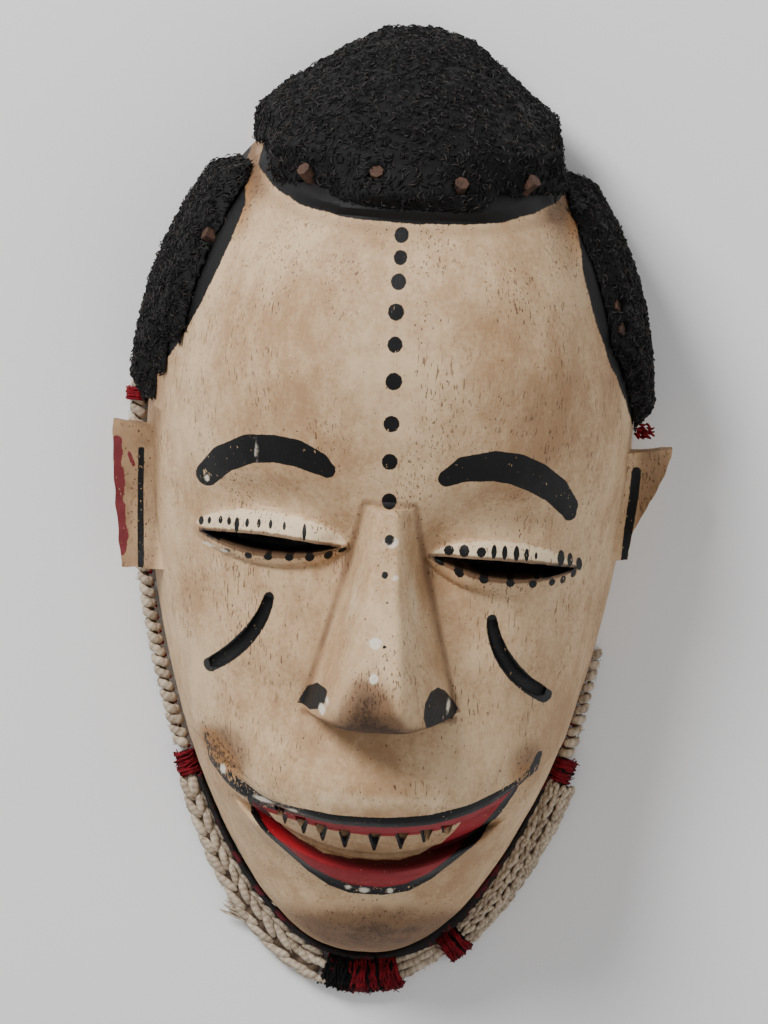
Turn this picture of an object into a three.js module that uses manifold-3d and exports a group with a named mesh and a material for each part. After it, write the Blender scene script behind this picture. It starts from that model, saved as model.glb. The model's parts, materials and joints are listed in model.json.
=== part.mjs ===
// Igbo face mask: a painted wooden face with hair mats pegged on and the remains of a knitted edge.
// It lies on its back rim with the face up. Millimetres: x to the viewer's right, y from the chin
// to the crown, z out of the face.

import * as THREE from "three";
import { mergeVertices } from "three/addons/utils/BufferGeometryUtils.js";
import Module from "manifold-3d";

const wasm = await Module();
wasm.setup();

// Outline of the wood
const CROWN_Y = 132.5;
const CHIN_Y = -123.5;
const WIDEST_Y = 20;
const HALF_WIDTH = 67.5;
const RIM_DEPTH = 5;          // the form runs on this far behind the rim before it is cut flat
const RIM_LEAN = -4;          // the back rim sits this far to the left of the face
const LEAN_HEIGHT = 80;
const ROUNDNESS = 2.4;
const FULLNESS = 2.2;
const GAP = 0.3;              // clearance between touching pieces
const WALL_FRONT = 13;        // thickness of the wood behind the middle line
const WALL_SIDE = 0.85;       // the hollow's share of the outer width
const WALL_ENDS = 0.903;      // and of the outer length
const CENTRE = { x: 2.25, y: -0.94 };   // moves the middle of the whole piece to the origin

// Heights of the middle line of the face, without the nose and the lips, as [y, z]
const MIDDLE_LINE = [
  [CHIN_Y, -RIM_DEPTH], [-121, 12], [-115, 28], [-106, 40], [-96, 48.5], [-86, 57], [-77, 67],
  [-69.5, 74.5], [-60, 77], [-48, 74], [-36, 71], [-20, 71], [-5, 73], [8, 77], [20, 82], [35, 87],
  [52, 90], [68, 88.5], [82, 83], [95, 75], [108, 63], [119, 46], [127, 28], [131.2, 12],
  [CROWN_Y, -RIM_DEPTH],
];

// The carved mouth, as [row, depth]: upper lip, teeth, dark recess, lower lip, chin
const UPPER_LIP_ROW = -69.5;
const TEETH_TOP_ROW = -76.1;
const TEETH_LOW_ROW = -82;
const LOWER_LIP_ROW = -91.5;
const MOUTH = [
  [-108, 0], [-94, -3.2], [LOWER_LIP_ROW, -1.6], [-89, -1], [-87, -3.8], [-85.2, -9.5], [-83, -10],
  [TEETH_LOW_ROW, -6.4], [TEETH_TOP_ROW, -6], [-73.9, -2.6], [-71.7, -0.4], [UPPER_LIP_ROW, 0],
];
const MOUTH_HALF = 39;
const SMILE_REACH = 45;
const SMILE_RISE = 12.5;      // rise of the upper lip at SMILE_REACH
const LOWER_LIP_RISE = 31;
const JAW_STEP = -3.5;        // how far the jaw lies behind the cheeks, beside the mouth

// Notches between the teeth: three-sided wedges that narrow downwards
const TOOTH_GAP = { half: 1.5, over: 0.3, length: 4.6, behind: 1.5,
  across: [-0.52, -0.41, -0.3, -0.165, 0.01, 0.17, 0.305, 0.41] };

// Gentle hollows and swellings, alike left and right: height, place and half widths
const SWELLS = [
  { rise: -4.5, x: 33, y: 12, wide: 17, tall: 7 },    // eye socket below the brow
  { rise: -4, x: 13, y: 1, wide: 6, tall: 9 },        // beside the root of the nose
  { rise: 2.5, x: 35, y: -28, wide: 16, tall: 18 },   // cheek
  { rise: 2, x: 0, y: -62, wide: 26, tall: 10 },      // muzzle
];

// Rows of the form from the chin to the crown, as [last row, number of rows]
const ROWS = [
  [-121.5, 1], [-116, 1], [-107, 1], [-94, 2], [LOWER_LIP_ROW, 1], [-89, 1], [-87, 1], [-85.2, 1],
  [-83, 1], [TEETH_LOW_ROW, 1], [TEETH_TOP_ROW, 1], [-73.9, 1], [-71.7, 1], [UPPER_LIP_ROW, 1],
  [-60, 2], [-38, 3], [38, 10], [84, 5], [94, 2], [117, 3], [126, 1], [130.6, 1], [CROWN_Y, 1],
];
const TOTAL_ROWS = ROWS.reduce((sum, [, count]) => sum + count, 0);
const FRONT_COLUMNS = 28;
const BACK_COLUMNS = 4;
const COLUMNS = FRONT_COLUMNS + BACK_COLUMNS;

// Eyes: centre, half length, rise and fall of the slit, half size of the lids
const EYES = [
  { x: -32.4, y: 2, half: 18.6, rise: 2, fall: 3.1, lidY: 3, tilt: 0, lid: [21.5, 7.6] },
  { x: 30, y: -1, half: 19.2, rise: 1.8, fall: 3.4, lidY: -1.5, tilt: -0.1, lid: [20.5, 7.6] },
];

const LID_RISE = 3.2;
const LID_ROOT = 5;

// Nose
const NOSE = { x: -0.8, top: 14, wingY: -40.5, tipY: -43, rootHalf: 6.5, wingHalf: 20.6 };
const NOSE_RIDGE = [[-43, 91], [-40.5, 97], [-35, 101], [-25, 99], [-8, 91.5], [4, 86.2], [14, 82.6]];
const NOSE_ROOT = 9;          // depth to which it stands in the face
const RIDGE_HALF = 0.36;      // flat half of the ridge, as a share of half the width

// Grooves cut into the cheeks, from the inner top end to the outer low end
const SCARS = [
  [[-31.5, -13], [-36.5, -24], [-47.5, -35]],
  [[27.5, -15.5], [32, -27], [43, -38]],
];
const SCAR_RADIUS = 1.9;
const SCAR_LIFT = 0.2;

// Hair: carved bands and the mats on them
const CREST = { x: 1.5, y: 118, half: 46.2, reach: 29, power: 3, step: 3, mat: 6.4, border: 4.2 };
const CREST_FULL = { x: 19, y: 127, wide: 11, tall: 9, mat: 3.8 };  // the wool is thickest here
const CREST_END = { x: 44, y: 100, wide: 8, tall: 7, mat: 3 };      // and bulges at its right end
const TEMPLE = { x: 41.5, y: 91, slope: 0.41, top: 108, low: 27, step: 2.4, mat: 5, border: 4.4,
  parting: 1.4, clear: { left: 2.6, right: 4.2 } };
const TEMPLE_MAT_LOW = 30.4;  // just above the ears
const MAT_RIM = 5;            // the crest mat stops this far above the rim
const TEMPLE_MAT_RIM = 6.1;   // the temple mats stop above the edge binding
const PEG_RADIUS = 1.9;
const PEG_LENGTH = 9;
const PEG_SUNK = { crest: 1.7, temple: 2.3 };  // below the top of the mat
const DRILL_CLEAR = 3;        // the drill holes start this far above the pegs
const PEGS = {
  crest: [[-25.5, 97.5], [-8, 98.3], [12.5, 96.5], [29.5, 97.3]],
  left_temple: [[-52.2, 79.5], [-61, 63]],
  right_temple: [[54, 66.5], [55.6, 60.5]],
};

// Ears: outer edge at the foot and at the top, lowest and highest y, fall of the top edge
// towards the head, height of the front, and from which share of the height the edge flares
const EARS = [
  { side: -1, foot: 72.4, top: 76.8, low: -13.5, high: 26.9, fall: 3, front: 28, flare: -0.25 },
  { side: 1, foot: 65.8, top: 76, low: -4, high: 27.4, fall: 4, front: 28, flare: 0.05 },
];
const EAR = { root: 54, rootThick: 14, edgeThick: 4.5, cup: 2.5 };

// Edge left of the knitted costume, laid around the jaw: distances out from the wood
const RIM_TOP_Y = 45;         // the path along the rim starts at this y on both sides
const RIM_SAMPLES = 600;
const BAND_OUT = 1.7;         // the dark cloth band's outer face
const INTO_WOOD = -1.2;       // fitted strips start here and are cut back to the wood

const clamp = (t) => Math.min(1, Math.max(0, t));
const mix = (a, b, t) => a + (b - a) * t;
const bell = (t) => Math.exp(-t * t);

function ramp(from, to, value) {
  const t = clamp((value - from) / (to - from));
  return t * t * (3 - 2 * t);
}

// A smooth function through [x, y] stations that never overshoots them
function through(stations) {
  const slopes = stations.map((_, i) => {
    if (i === 0 || i === stations.length - 1) return null;
    const before = (stations[i][1] - stations[i - 1][1]) / (stations[i][0] - stations[i - 1][0]);
    const after = (stations[i + 1][1] - stations[i][1]) / (stations[i + 1][0] - stations[i][0]);
    return before * after > 0 ? (2 * before * after) / (before + after) : 0;
  });
  const last = stations.length - 1;
  const chord = (i) => (stations[i + 1][1] - stations[i][1]) / (stations[i + 1][0] - stations[i][0]);
  slopes[0] = 1.5 * chord(0) - 0.5 * slopes[1];
  slopes[last] = 1.5 * chord(last - 1) - 0.5 * slopes[last - 1];
  return (x) => {
    let i = 0;
    while (i < last - 1 && x > stations[i + 1][0]) i += 1;
    const width = stations[i + 1][0] - stations[i][0];
    const t = clamp((x - stations[i][0]) / width);
    const a = (1 + 2 * t) * (1 - t) ** 2;
    const b = t * (1 - t) ** 2;
    const c = t * t * (3 - 2 * t);
    const d = t * t * (t - 1);
    return a * stations[i][1] + b * width * slopes[i] + c * stations[i + 1][1] + d * width * slopes[i + 1];
  };
}

// Moves every vertex of a three.js geometry to place(position, uv)
function shaped(geometry, place) {
  const { position, uv } = geometry.attributes;
  for (let i = 0; i < position.count; i += 1) {
    const p = new THREE.Vector3().fromBufferAttribute(position, i);
    const to = place(p, uv.getX(i), uv.getY(i));
    position.setXYZ(i, to.x, to.y, to.z);
  }
  return geometry;
}

function solid(geometry) {
  const bare = geometry.clone();
  bare.deleteAttribute("normal");
  bare.deleteAttribute("uv");
  const merged = mergeVertices(bare, 1e-4);
  const kept = [];
  const index = merged.index.array;
  for (let i = 0; i < index.length; i += 3) {
    const [a, b, c] = [index[i], index[i + 1], index[i + 2]];
    if (a !== b && b !== c && c !== a) kept.push(a, b, c);
  }
  return new wasm.Manifold(new wasm.Mesh({
    numProp: 3,
    vertProperties: new Float32Array(merged.attributes.position.array),
    triVerts: new Uint32Array(kept),
  }));
}

function geometryOf(manifold) {
  const mesh = manifold.getMesh();
  const geometry = new THREE.BufferGeometry();
  geometry.setAttribute("position", new THREE.BufferAttribute(mesh.vertProperties, 3));
  geometry.setIndex(new THREE.BufferAttribute(mesh.triVerts, 1));
  geometry.computeVertexNormals();
  return geometry;
}

// Half width of the wood at the back rim
function halfWidth(y) {
  if (y < WIDEST_Y) {
    return HALF_WIDTH * Math.sqrt(Math.max(0, 1 - ((WIDEST_Y - y) / (WIDEST_Y - CHIN_Y)) ** 1.6));
  }
  return HALF_WIDTH * Math.max(0, 1 - ((y - WIDEST_Y) / (CROWN_Y - WIDEST_Y)) ** 2.7) ** 0.85;
}

const middleHeight = through(MIDDLE_LINE);
const mouthDepth = through(MOUTH);
const noseRidge = through(NOSE_RIDGE);
const lean = (z) => RIM_LEAN * (1 - z / LEAN_HEIGHT);

// Distance inside the edge of the carved crest and of a temple band, in mm
function insideCrest(x, y) {
  const across = (Math.abs(x - CREST.x) / CREST.half) ** CREST.power;
  const down = (Math.max(0, CREST.y - y) / CREST.reach) ** CREST.power;
  return CREST.reach * (1 - (across + down) ** (1 / CREST.power));
}
function insideTemple(x, y) {
  const inner = TEMPLE.x + TEMPLE.slope * (TEMPLE.y - y);
  const belowCrest = TEMPLE.parting - insideCrest(x, y);
  return Math.min((Math.abs(x) - inner) * 0.92, TEMPLE.top - y, y - TEMPLE.low, belowCrest);
}

// How far a row has bent upwards at x: the mouth smiles, and the rows go with it
function smile(row, x) {
  const reach = (x / SMILE_REACH) ** 2;
  const bend = Math.min(reach, 1.25 - 0.25 * Math.exp(1 - Math.max(1, reach)));
  const low = mix(0, LOWER_LIP_RISE, ramp(CHIN_Y, LOWER_LIP_ROW, row));
  const mouth = clamp((row - LOWER_LIP_ROW) / (UPPER_LIP_ROW - LOWER_LIP_ROW));
  const high = SMILE_RISE * (1 - ramp(UPPER_LIP_ROW, -30, row));
  if (row < LOWER_LIP_ROW) return bend * low;
  return bend * (row < UPPER_LIP_ROW ? mix(LOWER_LIP_RISE, SMILE_RISE, mouth) : high);
}

// Everything carved into the front, as a height at x, y; row tells where in the mouth it is
function carving(x, y, row) {
  let z = 0;
  for (const swell of SWELLS) {
    z += swell.rise * bell((Math.abs(x) - swell.x) / swell.wide) * bell((y - swell.y) / swell.tall);
  }
  const inMouth = 1 - ramp(MOUTH_HALF - 9, MOUTH_HALF, Math.abs(x + 0.5));
  const jaw = JAW_STEP * ramp(UPPER_LIP_ROW, -71.7, row) * ramp(-112, -92, row);
  if (row < UPPER_LIP_ROW) z += mix(jaw, mouthDepth(Math.max(row, -108)), inMouth);
  z += CREST.step * ramp(-0.5, 2.5, insideCrest(x, y));
  z += TEMPLE.step * ramp(-0.5, 2.5, insideTemple(x, y));
  return z;
}

// Point of the outer form: across runs from -1 at the left rim to 1 at the right rim
function facePoint(across, row) {
  const y = row + smile(row, across * halfWidth(row));
  const x = across * halfWidth(y);
  const dome = Math.max(0, 1 - Math.abs(across) ** ROUNDNESS) ** (1 / FULLNESS);
  const front = ramp(0, 0.35, dome);
  const z = (middleHeight(y) + RIM_DEPTH) * dome - RIM_DEPTH + front * carving(x, y, row);
  return new THREE.Vector3(x + lean(z), y, z);
}

// Height of the front at x, y, above the mouth, where the rows are straight
function surfaceAt(x, y) {
  let across = x / halfWidth(y);
  for (let i = 0; i < 6; i += 1) {
    const p = facePoint(across, y);
    across += (x - p.x) / halfWidth(y);
  }
  const point = facePoint(across, y);
  const side = facePoint(across + 0.02, y).sub(facePoint(across - 0.02, y));
  const up = facePoint(across, y + 1).sub(facePoint(across, y - 1));
  return { point, normal: side.cross(up).normalize() };
}

function rowAt(v) {
  let left = v * TOTAL_ROWS;
  let from = CHIN_Y;
  for (const [to, count] of ROWS) {
    if (left <= count + 1e-9) return mix(from, to, left / count);
    left -= count;
    from = to;
  }
  return CROWN_Y;
}

// Space in front of the flat back, and the part of it above the eyes
const SLAB = solid(new THREE.BoxGeometry(400, 400, 200).translate(0, 0, 100));
const HEAD = solid(new THREE.BoxGeometry(400, 200, 200).translate(0, 125, 100));

// Point of the closed outer form at u round the head and v from the chin to the crown
function outerPoint(u, v) {
  const row = rowAt(clamp(v));
  const front = FRONT_COLUMNS / COLUMNS;
  if (u <= front + 1e-9) {
    return facePoint(Math.sin((u / front - 0.5) * Math.PI), row);
  }
  const angle = ((u - front) / (1 - front)) * Math.PI;
  const rim = facePoint(Math.cos(angle), row);
  const edge = facePoint(1, row);
  const behind = 6 * Math.sin(angle) * clamp(halfWidth(rim.y) / 30);
  return new THREE.Vector3(rim.x - lean(rim.z) + lean(edge.z), rim.y, -RIM_DEPTH - behind);
}

// The outer form grown along its normals by grow(point) mm and cut flat at the back
function outerForm(grow) {
  const sphere = new THREE.SphereGeometry(1, COLUMNS, TOTAL_ROWS);
  const step = 1e-3;
  const geometry = shaped(sphere, (p, rawU, rawV) => {
    const v = clamp(rawV);
    const pole = v < 1e-6 || v > 1 - 1e-6;
    const u = pole ? 0.5 : rawU;
    const at = outerPoint(u, v);
    const g = grow(at);
    if (g === 0) return at;
    if (pole) return at.add(new THREE.Vector3(0, v > 0.5 ? g : -g, 0));
    const wrap = (t) => (t + 1) % 1;
    const across = outerPoint(wrap(u + step), v).sub(outerPoint(wrap(u - step), v));
    const along = outerPoint(u, v + step).sub(outerPoint(u, v - step));
    return at.add(across.cross(along).normalize().multiplyScalar(g));
  });
  return solid(geometry).intersect(SLAB);
}

// The hollow behind the face
function hollow() {
  const middle = (CROWN_Y + CHIN_Y) / 2;
  return solid(shaped(new THREE.SphereGeometry(1, 20, 16), (p) => {
    const y = middle + p.y * (CROWN_Y - middle);
    const ring = Math.hypot(p.x, p.z) || 1;
    const across = p.x / ring;
    const width = halfWidth(y) * WALL_SIDE;
    const dome = Math.max(0, 1 - Math.abs(across) ** ROUNDNESS) ** (1 / FULLNESS);
    const height = Math.max(0, middleHeight(y) - WALL_FRONT + RIM_DEPTH);
    const z = p.z > 0 ? height * dome - RIM_DEPTH : -RIM_DEPTH - 8 * Math.abs(p.z);
    return new THREE.Vector3(across * width + lean(0), middle + (y - middle) * WALL_ENDS, z);
  }));
}

// The lids of an eye, one raised almond
function lids(eye) {
  return solid(shaped(new THREE.SphereGeometry(1, 14, 8), (p) => {
    const x = eye.x + p.x * eye.lid[0];
    const narrow = Math.max(0, 1 - p.x * p.x) ** 0.12;
    const y = eye.lidY + eye.tilt * (x - eye.x) + p.y * narrow * eye.lid[1];
    const base = surfaceAt(x, y).point.z;
    return new THREE.Vector3(x, y, base + (p.z > 0 ? LID_RISE * p.z ** 0.8 : LID_ROOT * p.z));
  }));
}

// A slit through the wall, a lens with pointed ends
function eyeSlit(eye) {
  const shape = new THREE.Shape();
  shape.moveTo(-eye.half, 0);
  shape.quadraticCurveTo(0, 2 * eye.rise, eye.half, 0);
  shape.quadraticCurveTo(0, -2 * eye.fall, -eye.half, 0);
  const geometry = new THREE.ExtrudeGeometry(shape, { depth: 90, bevelEnabled: false, curveSegments: 8 });
  return solid(geometry.rotateZ(eye.tilt).translate(eye.x, eye.y, 20));
}

function scarGroove(points) {
  const lifted = points.map(([x, y]) => {
    const { point, normal } = surfaceAt(x, y);
    return point.addScaledVector(normal, SCAR_LIFT);
  });
  const path = new THREE.CatmullRomCurve3(lifted);
  const circle = new THREE.Shape().absarc(0, 0, SCAR_RADIUS, 0, Math.PI * 2);
  return solid(new THREE.ExtrudeGeometry(circle, { steps: 6, curveSegments: 8, extrudePath: path }));
}

// The nose: a wedge with a flat ridge and straight sides that widens to two wings
function nose() {
  const block = new THREE.BoxGeometry(2, 1, 1, 12, 9, 1);
  return solid(shaped(block, (p) => {
    const down = 0.5 - p.y;
    const edge = mix(NOSE.wingY, NOSE.tipY, 1 - p.x * p.x);
    const y = mix(NOSE.top, edge, down);
    const half = mix(NOSE.rootHalf, NOSE.wingHalf, down ** 1.15);
    const x = NOSE.x + p.x * half;
    const base = surfaceAt(x, y).point.z;
    if (p.z < 0) return new THREE.Vector3(x, y, base - NOSE_ROOT);
    const out = Math.abs(p.x);
    const wedge = 1 - mix(clamp((out - RIDGE_HALF) / (1 - RIDGE_HALF)), ramp(RIDGE_HALF, 1, out), 0.35);
    const bulb = (1 - 0.5 * ramp(0.3, 0.9, out)) * (1 - out ** 7);
    const rise = mix(wedge, bulb, ramp(0.5, 1, down));
    return new THREE.Vector3(x, y, base - 1 + (noseRidge(y) - base + 1) * rise);
  }));
}

function ear(shape) {
  const block = new THREE.BoxGeometry(1, 1, 1, 4, 6, 1);
  return solid(shaped(block, (p) => {
    const up = p.y + 0.5;
    const out = p.x * shape.side + 0.5;
    const edge = mix(shape.foot, shape.top, ramp(shape.flare, 1, up));
    const x = mix(EAR.root, edge, out);
    const y = mix(shape.low, shape.high, up) - shape.fall * (1 - out) * up;
    const thick = mix(EAR.rootThick, EAR.edgeThick, out);
    const front = shape.front - 3 * out - EAR.cup * Math.sin(out * Math.PI) * Math.sin(up * Math.PI);
    const z = p.z > 0 ? front : front - thick;
    return new THREE.Vector3(shape.side * x + RIM_LEAN * 0.5, y, z);
  }));
}

function toothGaps() {
  const { half, over, length, behind } = TOOTH_GAP;
  const gaps = [];
  for (const across of TOOTH_GAP.across) {
    const top = facePoint(across, TEETH_TOP_ROW);
    const low = facePoint(across, TEETH_LOW_ROW);
    const shape = new THREE.Shape([
      new THREE.Vector2(-half, over), new THREE.Vector2(0, -length), new THREE.Vector2(half, over),
    ]);
    const geometry = new THREE.ExtrudeGeometry(shape, { depth: 12, bevelEnabled: false });
    gaps.push(solid(geometry.translate(top.x, top.y, mix(top.z, low.z, 0.4) - behind)));
  }
  return gaps;
}

// Pegs stand along the surface normal, with their outer end at lift above the wood
function pegAt([x, y], length, radius, lift) {
  const { point, normal } = surfaceAt(x, y);
  const peg = new THREE.CylinderGeometry(radius, radius, length, 7);
  const turn = new THREE.Quaternion().setFromUnitVectors(new THREE.Vector3(0, 1, 0), normal);
  const place = point.clone().addScaledVector(normal, lift - length / 2);
  return peg.applyQuaternion(turn).translate(place.x, place.y, place.z);
}

const pegLift = (group) => (
  group === "crest" ? CREST.mat - PEG_SUNK.crest : TEMPLE.mat - PEG_SUNK.temple
);

const pegHoles = {};
for (const [group, places] of Object.entries(PEGS)) {
  const depth = PEG_LENGTH + GAP + DRILL_CLEAR;
  pegHoles[group] = places.map((place) => (
    solid(pegAt(place, depth, PEG_RADIUS + GAP, pegLift(group) + DRILL_CLEAR))
  ));
}

// The wooden face
let shell = outerForm(() => 0).add(nose());
for (const eye of EYES) shell = shell.add(lids(eye));
for (const shape of EARS) shell = shell.add(ear(shape));
shell = shell.subtract(hollow());
for (const eye of EYES) shell = shell.subtract(eyeSlit(eye));
for (const scar of SCARS) shell = shell.subtract(scarGroove(scar));
for (const gap of toothGaps()) shell = shell.subtract(gap);
for (const holes of Object.values(pegHoles)) {
  for (const hole of holes) shell = shell.subtract(hole);
}

// Hair mats: they lie on the wood with a small gap and end in a steep, rounded edge
const under = outerForm(() => GAP);
function matOver(inside, thickness) {
  const over = outerForm((p) => {
    const x = p.x - lean(p.z);
    const edge = ramp(-1.4, 2.2, inside(x, p.y, p.z));
    return mix(-1.5, thickness(x, p.y) + GAP, edge);
  });
  return over.subtract(under).intersect(HEAD);
}
const thickerAt = (spot, x, y) => (
  spot.mat * bell((x - spot.x) / spot.wide) * bell((y - spot.y) / spot.tall)
);
const crestMat = matOver(
  (x, y, z) => Math.min((insideCrest(x, y) - CREST.border) * 1.3, (z - MAT_RIM) * 0.6),
  (x, y) => CREST.mat + thickerAt(CREST_FULL, x, y) + thickerAt(CREST_END, x, y),
);
const ABOVE_BINDING = solid(
  new THREE.BoxGeometry(400, 400, 200).translate(0, 0, TEMPLE_MAT_RIM + 100),
);
// How far a point on the wood lies behind the inner edge of a temple band, along the surface
function behindTempleEdge(x, y, z) {
  const inner = TEMPLE.x + TEMPLE.slope * (TEMPLE.y - y);
  const across = Math.abs(x) - inner;
  const height = facePoint(Math.min(1, inner / halfWidth(y)), y).z;
  return across < 0 ? across : Math.hypot(across, Math.max(0, height - z));
}
function templeMat(side) {
  return matOver((x, y, z) => Math.min(
    x * side > 0 ? behindTempleEdge(x, y, z) - TEMPLE.border : -5,
    TEMPLE.top - y,
    TEMPLE.parting - insideCrest(x, y) - TEMPLE.clear[side < 0 ? "left" : "right"],
    y - TEMPLE_MAT_LOW,
  ), () => TEMPLE.mat).intersect(ABOVE_BINDING);
}
const mats = {
  crest: crestMat,
  left_temple: templeMat(-1),
  right_temple: templeMat(1),
};
for (const [group, holes] of Object.entries(pegHoles)) {
  for (const hole of holes) mats[group] = mats[group].subtract(hole);
}

// Line of the back rim around the jaw, from the left temple to the right one
const rimPath = new THREE.CatmullRomCurve3(Array.from({ length: 61 }, (_, i) => {
  const side = (i - 30) / 30;
  const y = CHIN_Y + (RIM_TOP_Y - CHIN_Y) * side * side;
  return new THREE.Vector3(Math.sign(side) * halfWidth(y) + lean(0), y, 0);
}));
const rimPoints = rimPath.getSpacedPoints(RIM_SAMPLES);

// Share of that line at a y on one side, or at an x below the chin
const rimShare = (passed) => rimPoints.findIndex(passed) / RIM_SAMPLES;
const onLeft = (y) => rimShare((p) => p.y <= y);
const onRight = (y) => rimShare((p) => p.x > 0 && p.y >= y);
const onChin = (x) => rimShare((p) => p.y < -60 && p.x >= x);

// A strip along the rim between two shares, from near to far out from the wood, its top at top
function strip({ from, to, near, far, top, steps, sides = 8, bulge = 0 }) {
  const bar = new THREE.CylinderGeometry(1, 1, 1, sides, steps);
  return shaped(bar, (p) => {
    const t = p.y + 0.5;
    const share = mix(from, to, t);
    const at = rimPath.getPointAt(share);
    const ahead = rimPath.getTangentAt(share);
    const swell = 1 + bulge * Math.sin(Math.PI * t);
    const inner = near(t, share);
    const outer = inner + (far(t, share) - inner) * swell;
    const out = mix(inner, outer, (p.x + 1) / 2);
    const z = GAP + (top(t) * swell - GAP) * (p.z + 1) / 2;
    return new THREE.Vector3(at.x + ahead.y * out, at.y - ahead.x * out, z);
  });
}

// The dark band has a fold below the chin; the knitted strips lie outside it
const BAND_FOLD = { at: onChin(19), swell: 2.6, width: 0.035 };
const bandOut = (share) => BAND_OUT + BAND_FOLD.swell * bell((share - BAND_FOLD.at) / BAND_FOLD.width);
const outsideBand = (t, share) => bandOut(share) + 2 * GAP;
const flat = (value) => () => value;
const tapered = (value, share) => (t) => value * Math.min(1, 0.35 + t / share, 0.35 + (1 - t) / share);
const EDGE = {
  dark_cloth_band: {
    from: onLeft(-74), to: onRight(-64.5), near: flat(INTO_WOOD), far: (t, share) => bandOut(share),
    top: flat(6), steps: 20, sides: 6, fitted: true, kind: "dark",
  },
  left_edge_binding: {
    from: onLeft(39), to: onLeft(-67), near: flat(INTO_WOOD), far: tapered(4.2, 0.06), top: flat(5.5),
    steps: 11, fitted: true, kind: "cotton",
  },
  left_red_tie: {
    from: onLeft(-67.5), to: onLeft(-73.4), near: outsideBand, far: flat(6), top: flat(5.5),
    steps: 3, bulge: 0.25, kind: "red",
  },
  left_braid: {
    from: onLeft(-74), to: onChin(-12.5), near: outsideBand, far: (t) => mix(6, 10.5, t * t),
    top: flat(5.5), steps: 14, kind: "cotton",
  },
  chin_yarn_knot: {
    from: onChin(-12), to: onChin(4.5), near: outsideBand, far: flat(10.5), top: flat(6),
    steps: 5, sides: 10, bulge: 0.2, kind: "red",
  },
  chin_cords: {
    from: onChin(5), to: onChin(15), near: outsideBand, far: flat(7), top: flat(5),
    steps: 4, kind: "cotton",
  },
  chin_red_tie: {
    from: onChin(15.5), to: onChin(19.5), near: outsideBand, far: flat(10), top: flat(5.5),
    steps: 3, bulge: 0.2, kind: "red",
  },
  right_knit: {
    from: onChin(20), to: onRight(-69.5), near: outsideBand, far: (t) => mix(9.6, 7.8, t), top: flat(6),
    steps: 12, kind: "cotton",
  },
  right_red_tie: {
    from: onRight(-69), to: onRight(-63.4), near: outsideBand, far: flat(6.4), top: flat(5.5),
    steps: 3, bulge: 0.25, kind: "red",
  },
  right_edge_binding: {
    from: onRight(-62.8), to: onRight(-33), near: flat(INTO_WOOD), far: (t) => mix(4, 1.6, t * t),
    top: (t) => mix(5.5, 3, t), steps: 5, fitted: true, kind: "cotton",
  },
};

// The frayed end of the braid points down and to the left
function frayedEnd() {
  const tuft = new THREE.CylinderGeometry(1.4, 3, 12, 7, 1);
  tuft.scale(1, 1, 0.55).rotateZ(1.15).translate(-36.5, -112.8, 2.6);
  return solid(tuft);
}

const paint = {
  wood: new THREE.MeshStandardMaterial({ color: 0xcdb294, roughness: 0.72, metalness: 0 }),
  hair: new THREE.MeshStandardMaterial({ color: 0x191715, roughness: 0.95, metalness: 0 }),
  peg: new THREE.MeshStandardMaterial({ color: 0x5a3c2c, roughness: 0.8, metalness: 0 }),
  cotton: new THREE.MeshStandardMaterial({ color: 0xbeaf9b, roughness: 0.95, metalness: 0 }),
  dark: new THREE.MeshStandardMaterial({ color: 0x1d1517, roughness: 0.95, metalness: 0 }),
  red: new THREE.MeshStandardMaterial({ color: 0x8c1f24, roughness: 0.9, metalness: 0 }),
};

const mask = new THREE.Group();
function piece(name, geometry, material) {
  const mesh = new THREE.Mesh(geometry, material);
  mesh.name = name;
  mesh.position.set(CENTRE.x, CENTRE.y, 0);
  mask.add(mesh);
}

piece("mask_shell", geometryOf(shell), paint.wood);
for (const [group, mat] of Object.entries(mats)) piece(`${group}_hair`, geometryOf(mat), paint.hair);
for (const [group, places] of Object.entries(PEGS)) {
  places.forEach((place, i) => {
    piece(`${group}_peg_${i + 1}`, pegAt(place, PEG_LENGTH, PEG_RADIUS, pegLift(group)), paint.peg);
  });
}

for (const [name, spec] of Object.entries(EDGE)) {
  let edge = solid(strip(spec));
  if (spec.fitted) edge = edge.subtract(under);
  if (name === "left_braid") edge = edge.add(frayedEnd());
  piece(name, geometryOf(edge), paint[spec.kind]);
}

export default mask;
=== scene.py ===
import json
import math

import bmesh
import bpy
import numpy as np
from mathutils import Matrix, Vector, noise

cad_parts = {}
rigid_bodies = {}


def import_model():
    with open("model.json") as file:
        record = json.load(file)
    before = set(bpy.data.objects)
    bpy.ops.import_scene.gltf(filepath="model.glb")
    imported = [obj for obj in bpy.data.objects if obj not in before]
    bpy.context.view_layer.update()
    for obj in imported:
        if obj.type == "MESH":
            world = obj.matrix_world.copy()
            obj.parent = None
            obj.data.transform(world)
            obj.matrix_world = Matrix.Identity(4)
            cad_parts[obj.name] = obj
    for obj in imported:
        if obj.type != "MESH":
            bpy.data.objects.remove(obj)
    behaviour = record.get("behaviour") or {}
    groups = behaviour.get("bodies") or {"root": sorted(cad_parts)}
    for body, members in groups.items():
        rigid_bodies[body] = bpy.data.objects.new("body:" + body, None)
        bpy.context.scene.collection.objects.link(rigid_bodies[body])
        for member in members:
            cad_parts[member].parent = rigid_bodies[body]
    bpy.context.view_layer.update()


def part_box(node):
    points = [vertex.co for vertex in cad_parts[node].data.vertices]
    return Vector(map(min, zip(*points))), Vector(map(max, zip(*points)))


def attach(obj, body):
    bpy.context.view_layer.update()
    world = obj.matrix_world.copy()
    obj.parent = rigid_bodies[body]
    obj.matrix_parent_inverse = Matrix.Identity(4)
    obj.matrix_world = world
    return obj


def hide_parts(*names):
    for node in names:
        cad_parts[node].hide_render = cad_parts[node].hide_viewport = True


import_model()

MM = 0.001
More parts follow.
